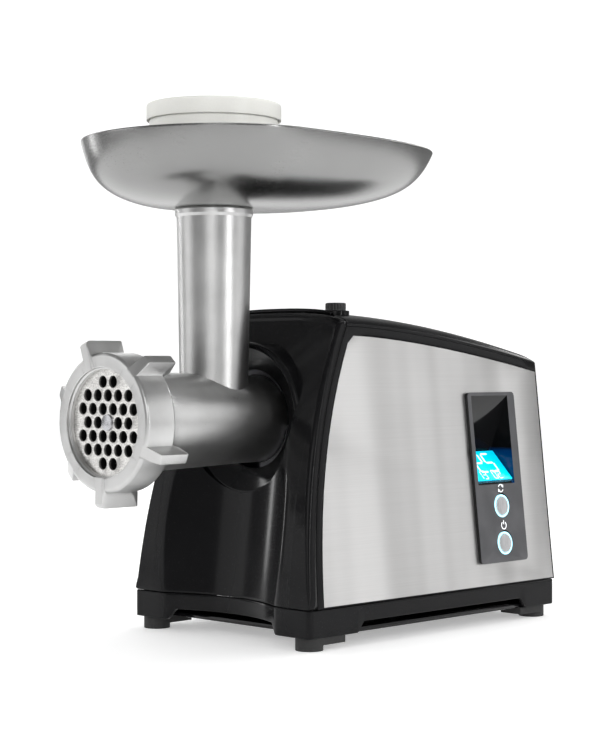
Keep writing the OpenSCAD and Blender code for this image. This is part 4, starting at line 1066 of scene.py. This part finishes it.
class GRINDER_OT_knob(GrinderOperator, bpy.types.Operator):
    """Release knob: a turned button whose side is drawn in between 20 ribs by the depth of a
    rib times a power of the sine"""

    bl_idname = "grinder.knob"
    bl_label = "Release knob"

    def execute(self, context):
        r, top, low = KNOB_RADIUS, KNOB_HIGH.z, KNOB_LOW.z
        dish = top - 0.3 * MM
        profile = rounded([[0, low], [r, low], [r, top], [r - 2 * MM, top],
                           [r - 2.4 * MM, top - 0.5 * MM], [0, dish]],
                          mm(0, 0.4, 1.1, 0.3, 0.3, 0), 6)
        side = np.linspace(low + 0.6 * MM, top - 1.3 * MM, 14)
        cut = int(np.argmax(profile[:, 1] > top - 2 * MM))
        profile = np.vstack([profile[1:cut], np.stack([0 * side + r, side], -1), profile[cut:-1]])
        out, height = profile[:, :1], profile[:, 1:]
        on_side = (smooth(height, top - 4.6 * MM, top - 4.2 * MM)
                   * (1 - smooth(height, top - MM, top - 0.2 * MM)) * (out > r - 1.2 * MM))
        a = round_angles(240)
        rib = 0.45 * MM * (1 - np.abs(np.sin(10 * a)) ** 0.7)
        axis = np.array([KNOB_X, KNOB_Y, 0])
        rows = (axis + (out - on_side * rib)[..., None] * spokes(a, X, Y)
                + height[..., None] * Z)
        shell = skin(rows, start=axis + low * Z, end=axis + dish * Z)
        make("release_button", [shell], "release", "knob_black", ["lock_knob"], 40)
        return {"FINISHED"}


def segment(long, thick):
    """Outline of one bar of a digit: a bar with pointed ends."""
    h, w = long / 2, thick / 2
    return np.array([[-h, 0], [-h + w, -w], [h - w, -w], [h, 0], [h - w, w], [-h + w, w]])


# Bars of a digit: middle x and y in half widths, and 1 for an upright bar.
BARS = {"a": (0, 2, 0), "b": (1, 1, 1), "c": (1, -1, 1), "d": (0, -2, 0), "e": (-1, -1, 1),
        "f": (-1, 1, 1), "g": (0, 0, 0)}
DIGITS = {"0": "abcdef", "1": "bc", "2": "abged", "3": "abgcd", "5": "afgcd"}


class GRINDER_OT_controls(GrinderOperator, bpy.types.Operator):
    """Domed buttons, their light rings, plain arrow and power marks, and a display's digits"""

    bl_idname = "grinder.controls"
    bl_label = "Controls"

    def execute(self, context):
        s, wall = context.scene.control_sizes, Wall(context.scene.casing_sizes)
        middle = sum(corner.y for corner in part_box("power_button")) / 2
        r, back = s.button, -5.5 * MM
        places, rings = {}, []
        for name, body in (("power_button", "power_key"), ("reverse_button", "reverse_key")):
            low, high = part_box(name)
            up = places[name] = float((np.array((low + high) / 2) - wall.foot) @ wall.up)
            seat = (wall.at(0, middle, up), wall.basis, SMALL_ROUND)
            profile = rounded([[0, back], [r + MM, back], [r + MM, back + MM], [r, back + MM],
                               [r, 2.6 * MM], [r - 1.4 * MM, 2.45 * MM], [0, 2.2 * MM]],
                              mm(0, 0.2, 0.2, 0.2, 0.6, 0.9, 0), 6)
            make(name.replace("button", "push"), [turned(profile, *seat)], body,
                 "button_silver", [name], 50)
            inner, outer, low, high = r + 0.25 * MM, r + 0.2 * MM + s.glow, 0.75 * MM, 2.3 * MM
            profile = rounded([[inner, low], [outer, low], [outer, high], [inner, high]],
                              0.45 * MM, 5, True)
            rings.append(turned(profile, *seat, True))
        make("glow_rings", rings, "casing", "ring_light", ["button_light_rings"], 60)

        low, high, m, edge = s.face - 0.05 * MM, s.face + 0.08 * MM, s.mark, 0.02 * MM
        inner, lift = m - 0.5 * MM, r + s.glow + m + 1.5 * MM
        place = wall.at(0, middle, places["power_button"] + lift)
        bar = segment(2.6 * MM, 0.55 * MM)[:, ::-1] + [0, m * 0.75]
        marks = [band(inner, m, math.radians(125), math.radians(415), low, high, place,
                      wall.basis, 40),
                 slab(bar, low, high, edge, place, wall.basis)]
        place = wall.at(0, middle, places["reverse_button"] + lift)
        for turn in (0.0, math.pi):
            marks.append(band(inner, m, turn + 0.55, turn + 2.75, low, high, place, wall.basis, 30))
            cos, sin = math.cos(turn + 0.5), math.sin(turn + 0.5)
            tip = (mm([1.0, 0.0], [-0.75, 0.95], [-0.75, -0.95]) @ [[sin, -cos], [cos, sin]]
                   + (inner + m) / 2 * np.array([cos, sin]))
            marks.append(slab(tip, low, high, edge, place, wall.basis))
        # The printed marks take the glowing mark finish, a painted glow.
        make("button_marks", marks, "casing", "white_plastic", (), 60, "mark_glow")

        centre = np.mean(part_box("display_module"), axis=0)
        tall = wall.slant(RECESS_TOP) - wall.slant(RECESS_FOOT)
        tilt = math.atan((s.recess + MM) / (tall + 1.2 * MM))
        basis = (Y, math.cos(tilt) * wall.up - math.sin(tilt) * wall.out,
                 math.cos(tilt) * wall.out + math.sin(tilt) * wall.up)
        digits = []
        for text, size, across, up in (("25", 3.4, -5.0, 1.8), ("13", 1.5, -11.6, -7.2),
                                       ("02", 1.5, 1.8, -7.2)):
            for k, letter in enumerate(text):
                for bar in DIGITS[letter]:
                    bar_x, bar_y, upright = BARS[bar]
                    outline = segment(size * 1.86 * MM, size * 0.36 * MM)
                    if upright:
                        outline = outline[:, ::-1]
                    shift = mm((bar_x + k * 2.9) * size + across, bar_y * size + up)
                    digits.append(slab(outline + shift, 0.46 * MM, 0.56 * MM, edge, centre, basis))
        make("display_digits", digits, "casing", "white_plastic", (), 60, "mark_glow")
        return {"FINISHED"}


# ------------------------------------------------------------------ stage

CAMERA_PLACE = (0.73801, -0.74939, 0.14976)
CAMERA_YAW, CAMERA_PITCH = 44.57, -0.24         # degrees from looking along the machine
CAMERA_LENS = 87.912                            # millimetres, on a 36 mm sensor


# Lamps: name, place, height of the point each looks at, width, height and watts.
LAMPS = (
    ("rear_right", (1.6, 1.5, 0.7), 0.12, 1.4, 1.2, 5),
    ("front_left", (-1.3, -1.5, 0.6), 0.15, 1.0, 1.2, 4),
    ("camera_side", (1.5, -1.9, 0.9), 0.15, 1.2, 1.2, 9),
    ("rear_left", (-1.7, 0.9, 0.8), 0.15, 1.0, 1.2, 5),
    ("overhead", (-0.1, 0.7, 1.8), 0.1, 1.4, 1.2, 12),
    ("right_strip", (2.0, 0.1, 0.5), 0.15, 0.12, 1.2, 7),
    ("left_strip", (-1.6, -0.3, 0.6), 0.15, 0.12, 1.2, 3),
    ("rear_strip", (0.2, 1.9, 1.1), 0.15, 1.4, 0.12, 5),
)


def aimed(item, target):
    """Turns a lamp or the camera so that it looks at a point."""
    item.rotation_euler = (Vector(target) - item.location).to_track_quat("-Z", "Y").to_euler()


class GRINDER_OT_stage(GrinderOperator, bpy.types.Operator):
    """Pale floor that curves up into a round backdrop, soft lamps and the camera"""

    bl_idname = "grinder.stage"
    bl_label = "Stage"

    def execute(self, context):
        scene = context.scene
        ray = spokes(round_angles(SMALL_ROUND), X, Y)
        a = np.linspace(0, QUARTER, 16)
        floor, flat, curve = 1.3, 2.6, 0.9
        cove = np.stack([flat + curve * np.sin(a), curve * (1 - np.cos(a))], -1)
        for name, profile, tip in (
                ("stage_floor", [[0.5, 0], [floor, 0]], np.zeros(3)),
                ("stage_backdrop", [[floor, 0], *cove, [flat + curve, 2.6]], None)):
            rows = np.array([r * ray + z * Z for r, z in profile])
            item = new_object(name, *skin(rows, start=tip))
            item.visible_glossy = name == "stage_floor"
            f = Finish(name, (0.9, 0.9, 0.9), 0.8, Emission_Color=(1, 1, 1, 1),
                       Emission_Strength=0.36)
            f.set(Base_Color=f.mix(f.noise(3, 2), f.tint(0.99), f.tint(1.01)))
            item.data.materials.append(f.material)

        world = bpy.data.worlds.new("studio")
        scene.world = world
        world.use_nodes = True
        sky = world.node_tree.nodes["Background"].inputs
        sky["Color"].default_value, sky["Strength"].default_value = (1, 1, 1, 1), 0.25

        for name, place, aim, width, height, power in LAMPS:
            lamp = bpy.data.lights.new(name, "AREA")
            lamp.shape, lamp.size, lamp.size_y, lamp.energy = "RECTANGLE", width, height, power
            item = bpy.data.objects.new(name, lamp)
            item.location = place
            item.visible_camera = False
            scene.collection.objects.link(item)
            aimed(item, (0, 0, aim))

        yaw, pitch = math.radians(CAMERA_YAW), math.radians(CAMERA_PITCH)
        level = math.cos(pitch)
        ahead = Vector((-math.sin(yaw) * level, math.cos(yaw) * level, math.sin(pitch)))
        side = ahead.cross(Vector((0, 0, 1))).normalized()
        camera = bpy.data.cameras.new("camera")
        camera.lens, camera.sensor_width = CAMERA_LENS, 36.0
        item = bpy.data.objects.new("camera", camera)
        turn = Matrix((side, side.cross(ahead), -ahead)).transposed()
        item.matrix_world = Matrix.Translation(CAMERA_PLACE) @ turn.to_4x4()
        scene.collection.objects.link(item)
        scene.camera = item
        scene.view_settings.view_transform = "Standard"
        return {"FINISHED"}


# ------------------------------------------------------------------ add-on

OPERATORS = (
    GRINDER_OT_finishes, GRINDER_OT_stage, GRINDER_OT_edges, GRINDER_OT_front_cover,
    GRINDER_OT_skirt, GRINDER_OT_top_cover, GRINDER_OT_tray, GRINDER_OT_pusher,
    GRINDER_OT_ring_nut, GRINDER_OT_knob, GRINDER_OT_spring, GRINDER_OT_controls)
GROUPS = {"casing_sizes": CasingSizes, "head_sizes": HeadSizes, "tray_sizes": TraySizes,
          "control_sizes": ControlSizes, "finish_colours": FinishColours}


class GRINDER_PT_panel(bpy.types.Panel):
    """Sizes, colours and pieces of the meat grinder"""

    bl_idname = "GRINDER_PT_panel"
    bl_label = "Meat grinder"
    bl_space_type = "VIEW_3D"
    bl_region_type = "UI"
    bl_category = "Grinder"

    def draw(self, context):
        for name, group in GROUPS.items():
            box = self.layout.box()
            box.label(text=name.replace("_", " ").capitalize())
            for key in group.__annotations__:
                box.prop(getattr(context.scene, name), key)
        for operator in OPERATORS:
            self.layout.operator(operator.bl_idname)


def register():
    """Registers the property groups, the operators and the panel."""
    for name, group in GROUPS.items():
        bpy.utils.register_class(group)
        setattr(bpy.types.Scene, name, PointerProperty(type=group))
    for operator in OPERATORS:
        bpy.utils.register_class(operator)
    bpy.utils.register_class(GRINDER_PT_panel)


def unregister():
    """Takes all of them away again."""
    bpy.utils.unregister_class(GRINDER_PT_panel)
    for operator in reversed(OPERATORS):
        bpy.utils.unregister_class(operator)
    for name, group in GROUPS.items():
        delattr(bpy.types.Scene, name)
        bpy.utils.unregister_class(group)


def main():
    """Makes every piece in order."""
    register()
    for operator in OPERATORS:
        group, name = operator.bl_idname.split(".")
        getattr(getattr(bpy.ops, group), name)()


if __name__ == "__main__":
    main()
